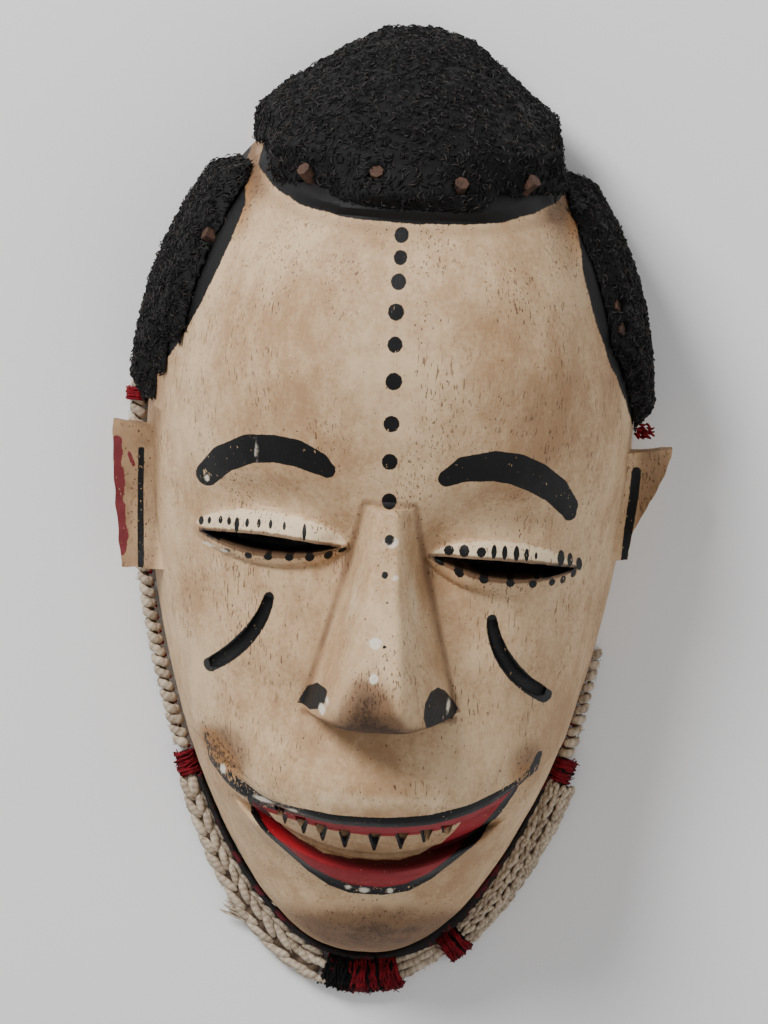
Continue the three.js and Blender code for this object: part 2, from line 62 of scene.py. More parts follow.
CENTRE = np.array([2.25, -0.94, 0.0])     # from the carver's middle line to the middle of the piece

# Outline of the wood, in millimetres: x to the viewer's right, y from chin to crown, z out of the face
CROWN_Y, CHIN_Y, WIDEST_Y = 132.5, -123.5, 20.0
HALF_WIDTH = 67.5
RIM_DEPTH, RIM_LEAN, LEAN_HEIGHT = 5.0, -4.0, 80.0
ROUNDNESS, FULLNESS = 2.4, 2.2
WALL_FRONT, WALL_SIDE, WALL_ENDS = 13.0, 0.85, 0.903
MIDDLE_LINE = [
    (CHIN_Y, -RIM_DEPTH), (-121, 12), (-115, 28), (-106, 40), (-96, 48.5), (-86, 57), (-77, 67),
    (-69.5, 74.5), (-60, 77), (-48, 74), (-36, 71), (-20, 71), (-5, 73), (8, 77), (20, 82), (35, 87),
    (52, 90), (68, 88.5), (82, 83), (95, 75), (108, 63), (119, 46), (127, 28), (131.2, 12),
    (CROWN_Y, -RIM_DEPTH),
]

# The carved mouth, as (row, depth)
UPPER_LIP_ROW, TEETH_TOP_ROW, TEETH_LOW_ROW, LOWER_LIP_ROW = -69.5, -76.1, -83.2, -91.5
MOUTH = [
    (-108, 0), (-94, -3.2), (LOWER_LIP_ROW, -1.6), (-89, -1), (-87.2, -3.8), (-85.8, -9.2), (-84.2, -10),
    (TEETH_LOW_ROW, -6.6), (TEETH_TOP_ROW, -6), (-73.9, -2.6), (-71.7, -0.4), (UPPER_LIP_ROW, 0),
]
MOUTH_HALF, SMILE_REACH, SMILE_RISE, LOWER_LIP_RISE, JAW_STEP = 39.0, 45.0, 12.5, 31.0, -3.5

# Hollows and swellings, alike left and right: rise, x, y, half width, half height
SWELLS = [(-4.5, 33, 12, 17, 7), (-4, 13, 1, 6, 9), (2.5, 35, -28, 16, 18), (2, 0, -62, 26, 10)]

NOSE_X, NOSE_TOP, WING_Y, TIP_Y, ROOT_HALF, WING_HALF = -0.8, 14.0, -40.5, -43.0, 6.5, 20.6
RIDGE_HALF = 0.36
NOSE_RIDGE = [(-43, 91), (-40.5, 97), (-35, 101), (-25, 99), (-8, 91.5), (4, 86.2), (14, 82.6)]
EYES = [
    {"x": -32.4, "y": 2, "half": 18.6, "rise": 2, "fall": 3.1, "lid_y": 3, "tilt": 0, "lid": (21.5, 7.6)},
    {"x": 30, "y": -1, "half": 19.2, "rise": 1.8, "fall": 3.4, "lid_y": -1.5, "tilt": -0.1,
     "lid": (20.5, 7.6)},
]
LID_RISE = 3.2
SCARS = [[(-31.5, -13), (-36.5, -24), (-47.5, -35)], [(27.5, -15.5), (32, -27), (43, -38)]]
SCAR_RADIUS, SCAR_RINGS = 1.9, 15
CREST = {"x": 1.5, "y": 118, "half": 46.2, "reach": 29, "step": 3}
TEMPLE = {"x": 41.5, "y": 91, "slope": 0.41, "top": 108, "low": 27, "step": 2.4, "parting": 1.4}
EARS = [
    {"side": -1, "foot": 72.4, "top": 76.8, "low": -13.5, "high": 26.9, "fall": 3, "flare": -0.25},
    {"side": 1, "foot": 65.8, "top": 76, "low": -4, "high": 27.4, "fall": 4, "flare": 0.05},
]
EAR_ROOT, EAR_ROOT_THICK, EAR_EDGE_THICK = 54, 14, 4.5
EAR_FRONT, EAR_CUP, EAR_ROUGH, EAR_LUMP = 28, 2.5, 0.45, 4.0


def clamp(t):
    return np.clip(t, 0.0, 1.0)


def mix(a, b, t):
    return a + (b - a) * t


def bell(t):
    return np.exp(-t * t)


def unit(v):
    return v / np.maximum(1e-9, np.linalg.norm(v, axis=-1, keepdims=True))


def ramp(start, end, value):
    t = clamp((value - start) / (end - start))
    return t * t * (3 - 2 * t)


def through(stations):
    """A smooth function through (x, y) stations that never overshoots them."""
    x, y = np.array(stations, float).T
    chord = np.diff(y) / np.diff(x)
    slope = np.zeros(len(x))
    same = chord[:-1] * chord[1:] > 0
    slope[1:-1][same] = 2 * chord[:-1][same] * chord[1:][same] / (chord[:-1] + chord[1:])[same]
    slope[0] = 1.5 * chord[0] - 0.5 * slope[1]
    slope[-1] = 1.5 * chord[-1] - 0.5 * slope[-2]

    def at(value):
        value = np.asarray(value, float)
        i = np.clip(np.searchsorted(x, value, side="left") - 1, 0, len(x) - 2)
        width = x[i + 1] - x[i]
        t = clamp((value - x[i]) / width)
        low = (1 + 2 * t) * (1 - t) ** 2 * y[i] + t * (1 - t) ** 2 * width * slope[i]
        return low + t * t * (3 - 2 * t) * y[i + 1] + t * t * (t - 1) * width * slope[i + 1]
    return at


middle_height = through(MIDDLE_LINE)
mouth_depth = through(MOUTH)
nose_ridge = through(NOSE_RIDGE)


def grain_noise(points, size, seed=0.0, octaves=3):
    """Smooth noise from about -1 to 1 at points in mm, with lumps of the given size (or sizes) in mm."""
    scaled = np.asarray(points, float) / np.asarray(size, float) + seed
    return np.array([noise.fractal(Vector(p), 1.0, 2.0, octaves) for p in scaled])


def swirl_noise(points, size, seed):
    return np.array([noise.noise(Vector(p)) for p in points / size + seed])


# Meshes

def mesh_from(bm, name):
    mesh = bpy.data.meshes.new(name)
    bm.to_mesh(mesh)
    bm.free()
    piece = bpy.data.objects.new(name, mesh)
    bpy.context.scene.collection.objects.link(piece)
    return piece


def place_grid(bm, columns, rows, point):
    """A grid whose vertex in column i and row j goes to point[i, j]."""
    made = bmesh.ops.create_grid(bm, x_segments=columns, y_segments=rows, size=1)["verts"]
    for vert in made:
        i = round((vert.co.x + 1) / 2 * columns)
        j = round((vert.co.y + 1) / 2 * rows)
        vert.co = point[i, j]
    return made


def grow(bm, faces, rise, keep=False):
    """Grows faces along z into a body. Returns the new vertices and faces."""
    grown = bmesh.ops.extrude_face_region(bm, geom=faces, use_keep_orig=keep)["geom"]
    verts = [g for g in grown if isinstance(g, bmesh.types.BMVert)]
    bmesh.ops.translate(bm, verts=verts, vec=(0, 0, rise))
    return verts, [g for g in grown if isinstance(g, bmesh.types.BMFace)]


def block(bm, cuts, place):
    """A closed block cut along each axis. Its points, from -0.5 to 0.5, move to place(x, y, z)."""
    nx, ny, nz = cuts
    made = bmesh.ops.create_grid(bm, x_segments=nx, y_segments=ny, size=0.5)["verts"]
    for vert in made:
        vert.co.z = -0.5
    last = list({f for v in made for f in v.link_faces})
    for i in range(nz):
        lifted, last = grow(bm, last, 1 / nz, keep=i == 0)
        made += lifted
    for vert in made:
        vert.co = place(*vert.co)
    return made


def prism(bm, corners, low, high):
    """A closed prism over (x, y) corners."""
    ring = [bm.verts.new((x, y, low)) for x, y in corners]
    grow(bm, [bm.faces.new(ring)], high - low)


def tube(sides, rings):
    """A closed tube of radius 1 that runs from 0 to 1 along z."""
    bm = bmesh.new()
    bmesh.ops.create_circle(bm, cap_ends=True, segments=sides, radius=1)
    cap = bm.faces[:]
    for _ in range(rings):
        _, cap = grow(bm, cap, 1 / rings)
    bmesh.ops.recalc_face_normals(bm, faces=bm.faces)
    return bm


def copies(name, bm, count):
    """Many copies of one small shape as one piece, and the points of that shape."""
    piece = mesh_from(bm, name)
    shape = points_of(piece)
    modifier = piece.modifiers.new("copies", "ARRAY")
    modifier.count = count
    modifier.use_relative_offset = False
    apply_modifiers(piece)
    return piece, shape


def apply_modifiers(piece):
    bpy.context.view_layer.update()
    evaluated = piece.evaluated_get(bpy.context.evaluated_depsgraph_get())
    mesh = bpy.data.meshes.new_from_object(evaluated)
    old = piece.data
    piece.modifiers.clear()
    piece.data = mesh
    bpy.data.meshes.remove(old)


def boolean(piece, other, operation):
    modifier = piece.modifiers.new("cut", "BOOLEAN")
    modifier.object = other
    modifier.operation = operation
    modifier.solver = "EXACT"
    apply_modifiers(piece)
    bpy.data.objects.remove(other)


def points_of(piece):
    """Vertices in millimetres about the carver's middle line."""
    co = np.zeros(len(piece.data.vertices) * 3, np.float32)
    piece.data.vertices.foreach_get("co", co)
    return co.reshape(-1, 3).astype(float)


def normals_of(piece):
    normal = np.zeros(len(piece.data.vertices) * 3, np.float32)
    piece.data.vertex_normals.foreach_get("vector", normal)
    return normal.reshape(-1, 3)


def put_points(piece, points):
    piece.data.vertices.foreach_set("co", np.asarray(points, np.float32).ravel())
    piece.data.update()


def attribute(piece, name, values):
    layer = piece.data.attributes.new(name, "FLOAT", "POINT")
    layer.data.foreach_set("value", np.asarray(values, np.float32))


def to_row(piece):
    """From millimetres about the carver's middle line to metres in the part's frame."""
    put_points(piece, (points_of(piece) + CENTRE) * MM)


def copy_of(node, name, grain):
    """A closed, even copy of a CAD node, in mm about the carver's middle line."""
    bm = bmesh.new()
    bm.from_mesh(bpy.data.objects[node].data)
    bmesh.ops.remove_doubles(bm, verts=bm.verts, dist=1e-5)
    for vert in bm.verts:
        vert.co = vert.co / MM - Vector(CENTRE)
    piece = mesh_from(bm, name)
    modifier = piece.modifiers.new("even", "REMESH")
    modifier.mode = "VOXEL"
    modifier.voxel_size = grain
    apply_modifiers(piece)
    return piece


def scattered(piece, count, rng, keep):
    """Random points and ways out on the faces of a piece that keep(centre, normal) chooses."""
    mesh = piece.data
    mesh.calc_loop_triangles()
    corner = np.zeros(len(mesh.loop_triangles) * 3, np.int32)
    mesh.loop_triangles.foreach_get("vertices", corner)
    p = points_of(piece)[corner.reshape(-1, 3)]
    cross = np.cross(p[:, 1] - p[:, 0], p[:, 2] - p[:, 0])
    area = np.linalg.norm(cross, axis=1)
    normal = cross / np.maximum(1e-9, area[:, None])
    chance = area * keep(p.mean(axis=1), normal)
    chosen = rng.choice(len(area), count, p=chance / chance.sum())
    a, b = rng.uniform(0, 1, (2, count))
    flip = a + b > 1
    a, b = np.where(flip, 1 - a, a)[:, None], np.where(flip, 1 - b, b)[:, None]
    p = p[chosen]
    return p[:, 0] + a * (p[:, 1] - p[:, 0]) + b * (p[:, 2] - p[:, 0]), normal[chosen]


def dress(piece, material, node=None):
    """Finishes a piece: metres, smooth faces, material and body, and hides the CAD node that it replaces."""
    to_row(piece)
    piece.data.materials.clear()
    piece.data.materials.append(material)
    for polygon in piece.data.polygons:
        polygon.use_smooth = True
    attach(piece, "root")
    if node:
        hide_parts(node)


# The carved face

def half_width(y):
    low = 1 - (np.maximum(0, WIDEST_Y - y) / (WIDEST_Y - CHIN_Y)) ** 1.6
    high = 1 - (np.maximum(0, y - WIDEST_Y) / (CROWN_Y - WIDEST_Y)) ** 2.7
    return HALF_WIDTH * np.where(y < WIDEST_Y, np.sqrt(np.maximum(0, low)), np.maximum(0, high) ** 0.85)


def lean(z):
    return RIM_LEAN * (1 - z / LEAN_HEIGHT)


def inside_crest(x, y):
    """Distance in mm from the edge of the crest's band, positive inside."""
    across = (np.abs(x - CREST["x"]) / CREST["half"]) ** 3
    down = (np.maximum(0, CREST["y"] - y) / CREST["reach"]) ** 3
    return CREST["reach"] * (1 - (across + down) ** (1 / 3))


def inside_temple(x, y):
    """Distance in mm from the edge of a temple's band, positive inside."""
    inner = TEMPLE["x"] + TEMPLE["slope"] * (TEMPLE["y"] - y)
    return np.minimum.reduce([
        (np.abs(x) - inner) * 0.92, TEMPLE["top"] - y, y - TEMPLE["low"],
        TEMPLE["parting"] - inside_crest(x, y),
    ])


def smile(row, x):
    """How far a row of the carver's is bent up beside the mouth."""
    reach = (x / SMILE_REACH) ** 2
    bend = np.minimum(reach, 1.25 - 0.25 * np.exp(1 - np.maximum(1, reach)))
    low = LOWER_LIP_RISE * ramp(CHIN_Y, LOWER_LIP_ROW, row)
    in_mouth = clamp((row - LOWER_LIP_ROW) / (UPPER_LIP_ROW - LOWER_LIP_ROW))
    high = SMILE_RISE * (1 - ramp(UPPER_LIP_ROW, -30, row))
    mouth = mix(LOWER_LIP_RISE, SMILE_RISE, in_mouth)
    return bend * np.where(row < LOWER_LIP_ROW, low, np.where(row < UPPER_LIP_ROW, mouth, high))


def under_nose(row, x):
    """The rows below the nose follow its lower edge."""
    edge = mix(TIP_Y, WING_Y, clamp(((x - NOSE_X) / WING_HALF) ** 2))
    return (edge - TIP_Y) * bell((row - TIP_Y) / 5)


def carving(x, y, row):
    """What is carved into the round front: swellings, mouth, jaw and the bands that the hair sits on."""
    z = np.zeros_like(x)
    for rise, at_x, at_y, wide, tall in SWELLS:
        z += rise * bell((np.abs(x) - at_x) / wide) * bell((y - at_y) / tall)
    in_mouth = 1 - ramp(MOUTH_HALF - 9, MOUTH_HALF, np.abs(x + 0.5))
    jaw = JAW_STEP * ramp(UPPER_LIP_ROW, -71.7, row) * ramp(-112, -92, row)
    z += np.where(row < UPPER_LIP_ROW, mix(jaw, mouth_depth(np.maximum(row, -108)), in_mouth), 0)
    z += CREST["step"] * ramp(-0.5, 2.5, inside_crest(x, y))
    z += TEMPLE["step"] * ramp(-0.5, 2.5, inside_temple(x, y))
    return z


def down_nose(y, edge=TIP_Y):
    """0 at the top of the nose and 1 at its lower edge."""
    return clamp((NOSE_TOP - y) / (NOSE_TOP - edge))


def nose_half(down):
    """Half the width of the nose."""
    return mix(ROOT_HALF, WING_HALF, down ** 1.15)


def nose(x, y, base):
    """Height of the nose over the face around it; base is the height of the face."""
    down = down_nose(y)
    for _ in range(5):
        out = np.abs(x - NOSE_X) / nose_half(down)
        edge = mix(TIP_Y, WING_Y, clamp(out * out))
        down = down_nose(y, edge)
    over = 0.5 * (out - RIDGE_HALF + np.sqrt((out - RIDGE_HALF) ** 2 + 0.006))
    wedge = 1 - mix(clamp(over / (1 - RIDGE_HALF)), ramp(RIDGE_HALF, 1, out), 0.35)
    bulb = (1 - 0.5 * ramp(0.3, 0.9, out)) * (1 - np.minimum(out, 1.6) ** 7)
    rise = mix(wedge, bulb, ramp(0.5, 1, down))
    height = (nose_ridge(np.clip(y, TIP_Y, NOSE_TOP)) - base + 1) * rise - 1
    height -= 22 * np.maximum(0, edge - y) + 2 * np.maximum(0, y - NOSE_TOP) + 3 * np.maximum(0, out - 1)
    return np.maximum(height, -30)


def lids(x, y):
    """Height of the raised almond lids."""
    rise = np.zeros_like(x)
    for eye in EYES:
        along = (x - eye["x"]) / eye["lid"][0]
        narrow = np.maximum(1e-6, 1 - along * along) ** 0.12
        across = (y - eye["lid_y"] - eye["tilt"] * (x - eye["x"])) / (eye["lid"][1] * narrow)
        left = np.maximum(0, 1 - along * along - across * across)
        rise = np.maximum(rise, LID_RISE * left ** np.where(across > 0, 0.55, 0.36))
    return rise


def dome(across):
    """How high the round front stands at a share of its half width, from 1 in the middle to 0."""
    return np.maximum(0, 1 - np.abs(across) ** ROUNDNESS) ** (1 / FULLNESS)


def dome_across(height):
    """The share of the half width at which a front of this height meets the back rim."""
    return np.maximum(0, 1 - clamp(RIM_DEPTH / height) ** FULLNESS) ** (1 / ROUNDNESS)


def face_point(across, row, nose_and_lids=True):
    """Points of the front: across runs from -1 to 1, row from the chin to the crown."""
    x = across * half_width(row)
    y = row + smile(row, x)
    if nose_and_lids:
        y = y + under_nose(row, x)
    x = across * half_width(y)
    high = dome(across)
    z = (middle_height(y) + RIM_DEPTH) * high - RIM_DEPTH + ramp(0, 0.35, high) * carving(x, y, row)
    x = x + lean(z)
    if nose_and_lids:
        raised = nose(x, y, z)
        z = z + 0.5 * (raised + np.sqrt(raised * raised + 0.5)) + lids(x, y)
    return np.stack([x, y, z], axis=-1)


def rim_across(y):
    """Where the front meets the back rim, at z = 0."""
    return dome_across(np.maximum(1e-6, middle_height(y) + RIM_DEPTH))


def spread(stops):
    """Values from 0 through (value, count) stops, evenly spread between them."""
    values = [0.0]
    for value, count in stops:
        start = values[-1]
        values += [start + (value - start) * (i + 1) / count for i in range(count)]
    return np.array(values)


def dense_rows(count, spacing_at):
    """Rows from the chin to the crown, closer where the middle profile is steep or spacing_at asks it."""
    fine = np.linspace(CHIN_Y + 0.02, CROWN_Y - 0.02, 6000)
    fine = fine[middle_height(fine) > 0]
    line = face_point(np.zeros_like(fine), fine)
    step = np.linalg.norm(np.diff(line[:, 1:], axis=0), axis=1) * spacing_at(0.5 * (fine[1:] + fine[:-1]))
    length = np.concatenate([[0], np.cumsum(step)])
    return np.interp(np.linspace(0, length[-1], count + 1), length, fine)


OUTER_ROWS, INNER_ROWS = 380, 90
HALF_COLUMNS = [(0.25, 24), (0.36, 20), (0.87, 48), (1.0, 20)]
INNER_COLUMNS = 48


def row_spacing(row):
    """Rows stand closer at the eyes, the mouth and the tip of the nose."""
    return 1 + 0.7 * bell((row - 1) / 10) + 0.9 * bell((row + 80) / 12) + 0.3 * bell((row + 45) / 3)


def wood_wear(points):
    """Adze marks all over, and wood eaten away above the left mouth corner and beside the crest."""
    x, y, z = points.T
    marks = 0.22 * grain_noise(points, (9, 16, 9), 3.1)
    eaten = 1.5 * bell((x + 42) / 8) * bell((y + 60 + 0.6 * (x + 42)) / 5)
    eaten += 0.6 * bell((x - 33) / 5) * bell((y + 60) / 4)
    eaten += 0.7 * bell((np.abs(x + 1.5) - 41) / 4) * bell((y - 93) / 9)
    eaten += 0.35 * ramp(3, 9, z) * bell((y - 60) / 60) * bell((np.abs(x) - 56) / 5)
    rough = grain_noise(points, (1.6, 2.6, 1.6), 7.7)
    return marks - eaten * (0.45 + 0.9 * np.abs(rough))


def carve_outside(bm):
    rows = dense_rows(OUTER_ROWS, row_spacing)
    half = np.sin(spread([(math.asin(a), n) for a, n in HALF_COLUMNS]))
    columns = np.concatenate([-half[:0:-1], half])
    across, row = np.meshgrid(columns, rows, indexing="ij")
    limit = rim_across(row + smile(row, across * half_width(row)))
    point = face_point(across * limit, row)
    point[[0, -1], :, 2] = 0
    point[:, [0, -1], 2] = 0
    point[:, 0] = point[:, 0].mean(axis=0)
    point[:, -1] = point[:, -1].mean(axis=0)
    along = np.gradient(point, axis=1)
    side = np.gradient(point, axis=0)
    normal = unit(np.cross(side, along))
    depth = wood_wear(point.reshape(-1, 3)).reshape(across.shape)
    depth *= ramp(0.5, 6, point[..., 2])
    point += normal * depth[..., None]
    place_grid(bm, len(columns) - 1, OUTER_ROWS, point)


def carve_inside(bm):
    middle = (CROWN_Y + CHIN_Y) / 2
    rows = np.linspace(CHIN_Y, CROWN_Y, 4000)
    rows = rows[middle_height(rows) - WALL_FRONT > 0.0]
    turn = np.linspace(0, math.pi, INNER_ROWS + 1)
    rows = np.interp(0.5 - 0.5 * np.cos(turn), np.linspace(0, 1, len(rows)), rows)
    columns = np.sin(np.linspace(-math.pi / 2, math.pi / 2, INNER_COLUMNS + 1))
    across, y = np.meshgrid(columns, rows, indexing="ij")
    height = middle_height(y) - WALL_FRONT + RIM_DEPTH
    across = across * dome_across(height)
    z = height * dome(across) - RIM_DEPTH
    x = across * half_width(y) * WALL_SIDE + lean(0)
    point = np.stack([x, middle + (y - middle) * WALL_ENDS, z], axis=-1)
    gouge = 0.5 * grain_noise(point.reshape(-1, 3), (6, 11, 6), 5.5).reshape(z.shape)
    point[..., 2] += gouge * ramp(2, 9, z)
    point[[0, -1], :, 2] = 0
    point[:, [0, -1], 2] = 0
    for end in (0, -1):
        point[:, end] = point[:, end].mean(axis=0)
    made = place_grid(bm, INNER_COLUMNS, INNER_ROWS, point)
    bmesh.ops.reverse_faces(bm, faces=list({f for v in made for f in v.link_faces}))


def wooden_shell():
    bm = bmesh.new()
    carve_outside(bm)
    carve_inside(bm)
    bmesh.ops.remove_doubles(bm, verts=bm.verts, dist=1e-4)
    bmesh.ops.dissolve_degenerate(bm, edges=bm.edges, dist=1e-4)
    open_edges = [e for e in bm.edges if e.is_boundary]
    bmesh.ops.triangle_fill(bm, edges=open_edges, use_beauty=True, use_dissolve=False, normal=(0, 0, -1))
    bmesh.ops.recalc_face_normals(bm, faces=bm.faces)
    return mesh_from(bm, "carved_wood")


def ear_points(shape):
    """A thin slab that leans back from its root to its edge and is a little cupped."""
    def place(px, py, pz):
        up = py + 0.5
        out = px * shape["side"] + 0.5
        edge = mix(shape["foot"], shape["top"], float(ramp(shape["flare"], 1, up)))
        x = mix(EAR_ROOT, edge, out)
        y = mix(shape["low"], shape["high"], up) - shape["fall"] * (1 - out) * up
        thick = mix(EAR_ROOT_THICK, EAR_EDGE_THICK, out)
        front = EAR_FRONT - 3 * out - EAR_CUP * math.sin(out * math.pi) * math.sin(up * math.pi)
        z = front + (pz - 0.5) * thick
        at = Vector((shape["side"] * x + RIM_LEAN * 0.5, y, z))
        rough = noise.noise_vector(at / EAR_LUMP) * EAR_ROUGH
        rough.z *= 0.6
        return at + rough * (0.3 + out)
    return place


def ears():
    bm = bmesh.new()
    for shape in EARS:
        block(bm, (24, 48, 3), ear_points(shape))
    bmesh.ops.recalc_face_normals(bm, faces=bm.faces)
    return mesh_from(bm, "ears")


def surface_at(x, y):
    """Point and normal of the front at x, y, above the mouth."""
    x, y = np.asarray(x, float), np.asarray(y, float)
    across = x / half_width(y)
    for _ in range(8):
        p = face_point(across, y, False)
        across = across + (x - p[..., 0]) / half_width(y)
    p = face_point(across, y, False)
    side = face_point(across + 0.02, y, False) - face_point(across - 0.02, y, False)
    up = face_point(across, y + 1, False) - face_point(across, y - 1, False)
    normal = np.cross(side, up)
    return p, unit(normal)


def eye_slit(bm, eye):
    """A slit through the wall, a lens with pointed ends."""
    turn = np.linspace(-1, 1, 33)
    upper = [(t * eye["half"], eye["rise"] * (1 - t * t)) for t in turn]
    lower = [(t * eye["half"], -eye["fall"] * (1 - t * t)) for t in turn[-2:0:-1]]
    cos, sin = math.cos(eye["tilt"]), math.sin(eye["tilt"])
    lens = []
    for x, y in upper + lower:
        ragged = 0.12 * noise.noise(Vector((x / 1.3, y, 1.5)))
        lens.append((eye["x"] + x * cos - y * sin, eye["y"] + x * sin + y * cos + ragged))
    prism(bm, lens, 30, 100)


def scar_path(points, count):
    """A smooth bow through three points of the cheek."""
    (x0, y0), (x1, y1), (x2, y2) = points
    t = np.linspace(0, 1, count)
    bend_x, bend_y = 2 * x1 - (x0 + x2) / 2, 2 * y1 - (y0 + y2) / 2
    x = (1 - t) ** 2 * x0 + 2 * t * (1 - t) * bend_x + t * t * x2
    y = (1 - t) ** 2 * y0 + 2 * t * (1 - t) * bend_y + t * t * y2
    return list(zip(x, y))


def scar_groove(bm, points):
    """A round gouge mark along three points of the cheek."""
    path, normals = surface_at(*np.array(scar_path(points, SCAR_RINGS)).T)
    final = SCAR_RINGS - 1
    for i, (at, normal) in enumerate(zip(path + 0.2 * normals, normals)):
        ahead = Vector(path[min(i + 1, final)] - path[max(i - 1, 0)]).normalized()
        up = Vector(normal)
        side = ahead.cross(up).normalized()
        size = SCAR_RADIUS * (1 if 0 < i < final else 0.55)
        frame_at = Matrix((side, up, ahead)).transposed().to_4x4()
        frame_at.translation = Vector(at)
        ring = bmesh.ops.create_circle(
            bm, cap_ends=i in (0, final), segments=16, radius=size, matrix=frame_at,
        )
        edges = list({e for v in ring["verts"] for e in v.link_edges})
        if i:
            bmesh.ops.bridge_loops(bm, edges=last + edges)
        last = edges


# Notches between the teeth, at shares of the half width
TOOTH_GAPS = [-0.52, -0.41, -0.3, -0.165, 0.01, 0.17, 0.305, 0.41]
GAP_HALF, GAP_OVER, GAP_LONG, GAP_DEEP = 1.6, 0.4, 4.9, 1.6


def tooth_gaps(bm):
    """Three-sided notches that narrow downwards."""
    for i, across in enumerate(TOOTH_GAPS):
        top = face_point(np.array(across), np.array(TEETH_TOP_ROW))
        low = face_point(np.array(across), np.array(TEETH_LOW_ROW))
        wobble = 0.25 * math.sin(i * 2.1)
        gap = [
            (top[0] - GAP_HALF, top[1] + GAP_OVER), (top[0] + GAP_HALF, top[1] + GAP_OVER),
            (top[0] + wobble, top[1] - GAP_LONG),
        ]
        prism(bm, gap, mix(top[2], low[2], 0.4) - GAP_DEEP, top[2] + 8)


def cutters():
    bm = bmesh.new()
    for eye in EYES:
        eye_slit(bm, eye)
    for points in SCARS:
        scar_groove(bm, points)
    tooth_gaps(bm)
    bmesh.ops.recalc_face_normals(bm, faces=bm.faces)
    return mesh_from(bm, "cutters")


# Paint. Each shape is given in millimetres; its attribute holds the distance to it, negative inside.

def stroke(p, stations):
    """Distance to a brush stroke through (x, y, width) stations."""
    best = np.full(len(p), 1e3)
    for (x0, y0, w0), (x1, y1, w1) in zip(stations[:-1], stations[1:]):
        dx, dy = x1 - x0, y1 - y0
        t = clamp(((p[:, 0] - x0) * dx + (p[:, 1] - y0) * dy) / (dx * dx + dy * dy))
        away = np.hypot(p[:, 0] - x0 - t * dx, p[:, 1] - y0 - t * dy)
        best = np.minimum(best, away - mix(w0, w1, t) / 2)
    return best


def spot(p, x, y, wide, tall):
    """Distance to an oval spot."""
    r = np.hypot((p[:, 0] - x) / wide, (p[:, 1] - y) / tall)
    return (r - 1) * min(wide, tall)


# Black dots down the middle: x, y, radius
DOTS = [
    (-1.2, 85.4, 1.9), (-1.1, 79.8, 1.8), (-1.2, 73.8, 2.0), (-1.4, 66.2, 2.1), (-1.2, 57.9, 2.0),
    (-1.0, 48.4, 2.2), (-1.1, 37.2, 2.1), (-1.1, 27.0, 2.1), (-0.8, 16.3, 2.0), (-0.1, 6.7, 1.3),
    (-0.7, -2.0, 0.9), (0.4, -8.7, 0.35), (0.4, -19.4, 0.55),
]
# Brush strokes: x, y, width
BROWS = [
    [(-50.0, 17.6, 6.4), (-45.5, 22.9, 7.4), (-38.2, 27.0, 7.8), (-31.5, 27.9, 7.5), (-25.4, 27.4, 7.4),
     (-19.6, 25.2, 6.2), (-17.2, 23.6, 4.4)],
    [(13.8, 23.2, 4.6), (18.5, 25.9, 7.0), (26.3, 26.8, 8.4), (31.7, 25.9, 8.6), (37.0, 23.4, 8.4),
     (42.1, 19.6, 7.4), (45.9, 14.6, 5.6), (46.6, 12.2, 3.6)],
]
LIP_BAND = [
    (-47.9, -56.0, 2.2), (-45.8, -62.4, 3.8), (-40.8, -66.2, 4.4), (-34.8, -69.0, 4.2), (-29.5, -70.2, 4.0),
    (-23.7, -70.0, 3.8), (-17.5, -70.0, 3.6), (-10.7, -70.4, 3.3), (2.6, -70.1, 3.3), (14.1, -69.0, 3.3),
    (24.5, -66.5, 3.0), (31.5, -63.8, 2.8), (36.6, -61.8, 2.8), (40.9, -58.8, 2.6), (42.3, -54.5, 1.8),
]
MOUTH_EDGE = [
    (-34.9, -71.0, 1.0), (-34.0, -75.2, 1.2), (-29.6, -79.8, 1.4), (-23.8, -84.8, 1.7), (-18.0, -89.9, 2.2),
    (-12.0, -93.4, 2.8), (-6.5, -95.3, 2.8), (2.2, -95.4, 2.6), (8.7, -93.9, 2.6), (14.9, -90.0, 2.4),
    (21.1, -83.4, 2.2), (27.2, -77.2, 2.2), (32.3, -69.8, 2.0), (36.2, -63.6, 1.6),
]
EAR_STRIPS = [
    [(-70.6, 19.0, 1.7), (-70.4, 8.0, 1.6), (-69.8, -4.0, 1.8), (-69.2, -13.0, 1.7)],
    [(64.6, 20.5, 2.6), (64.4, 14.0, 2.6), (63.4, 4.0, 2.4), (62.6, -5.0, 1.6)],
]
EAR_RED = [
    [(-77.4, 21.5, 2.4), (-77.0, 16.0, 2.8), (-76.2, 8.0, 3.4), (-75.8, 1.0, 2.8), (-75.0, -4.5, 4.2),
     (-74.4, -9.6, 1.6)],
    [(-73.9, 17.8, 1.1), (-72.6, 14.6, 1.1)],
    [(69.6, 6.6, 1.1), (68.6, 4.6, 1.1)],
]
# Outlines of painted places: x, y
TEETH = [
    (-29.6, -73.6), (-20.5, -74.4), (-14.4, -75.6), (-7.1, -76.4), (-0.1, -76.8), (6.4, -76.5), (12.6, -75.4),
    (18.2, -73.8), (22.5, -71.6), (20.4, -75.4), (16.9, -80.0), (11.8, -83.8), (6.4, -85.6), (-0.1, -86.2),
    (-7.3, -86.0), (-14.2, -84.6), (-21.0, -81.6), (-25.6, -78.6),
]
NOSTRILS = [
    [(-22.6, -40.4), (-20.3, -35.9), (-17.2, -33.2), (-14.2, -33.4), (-14.3, -35.9), (-15.4, -38.6),
     (-18.7, -40.4)],
    [(11.4, -35.0), (12.7, -32.6), (14.4, -32.2), (16.2, -33.6), (20.0, -39.4), (18.5, -42.2), (14.9, -41.6),
     (12.2, -41.9), (11.3, -38.6)],
]
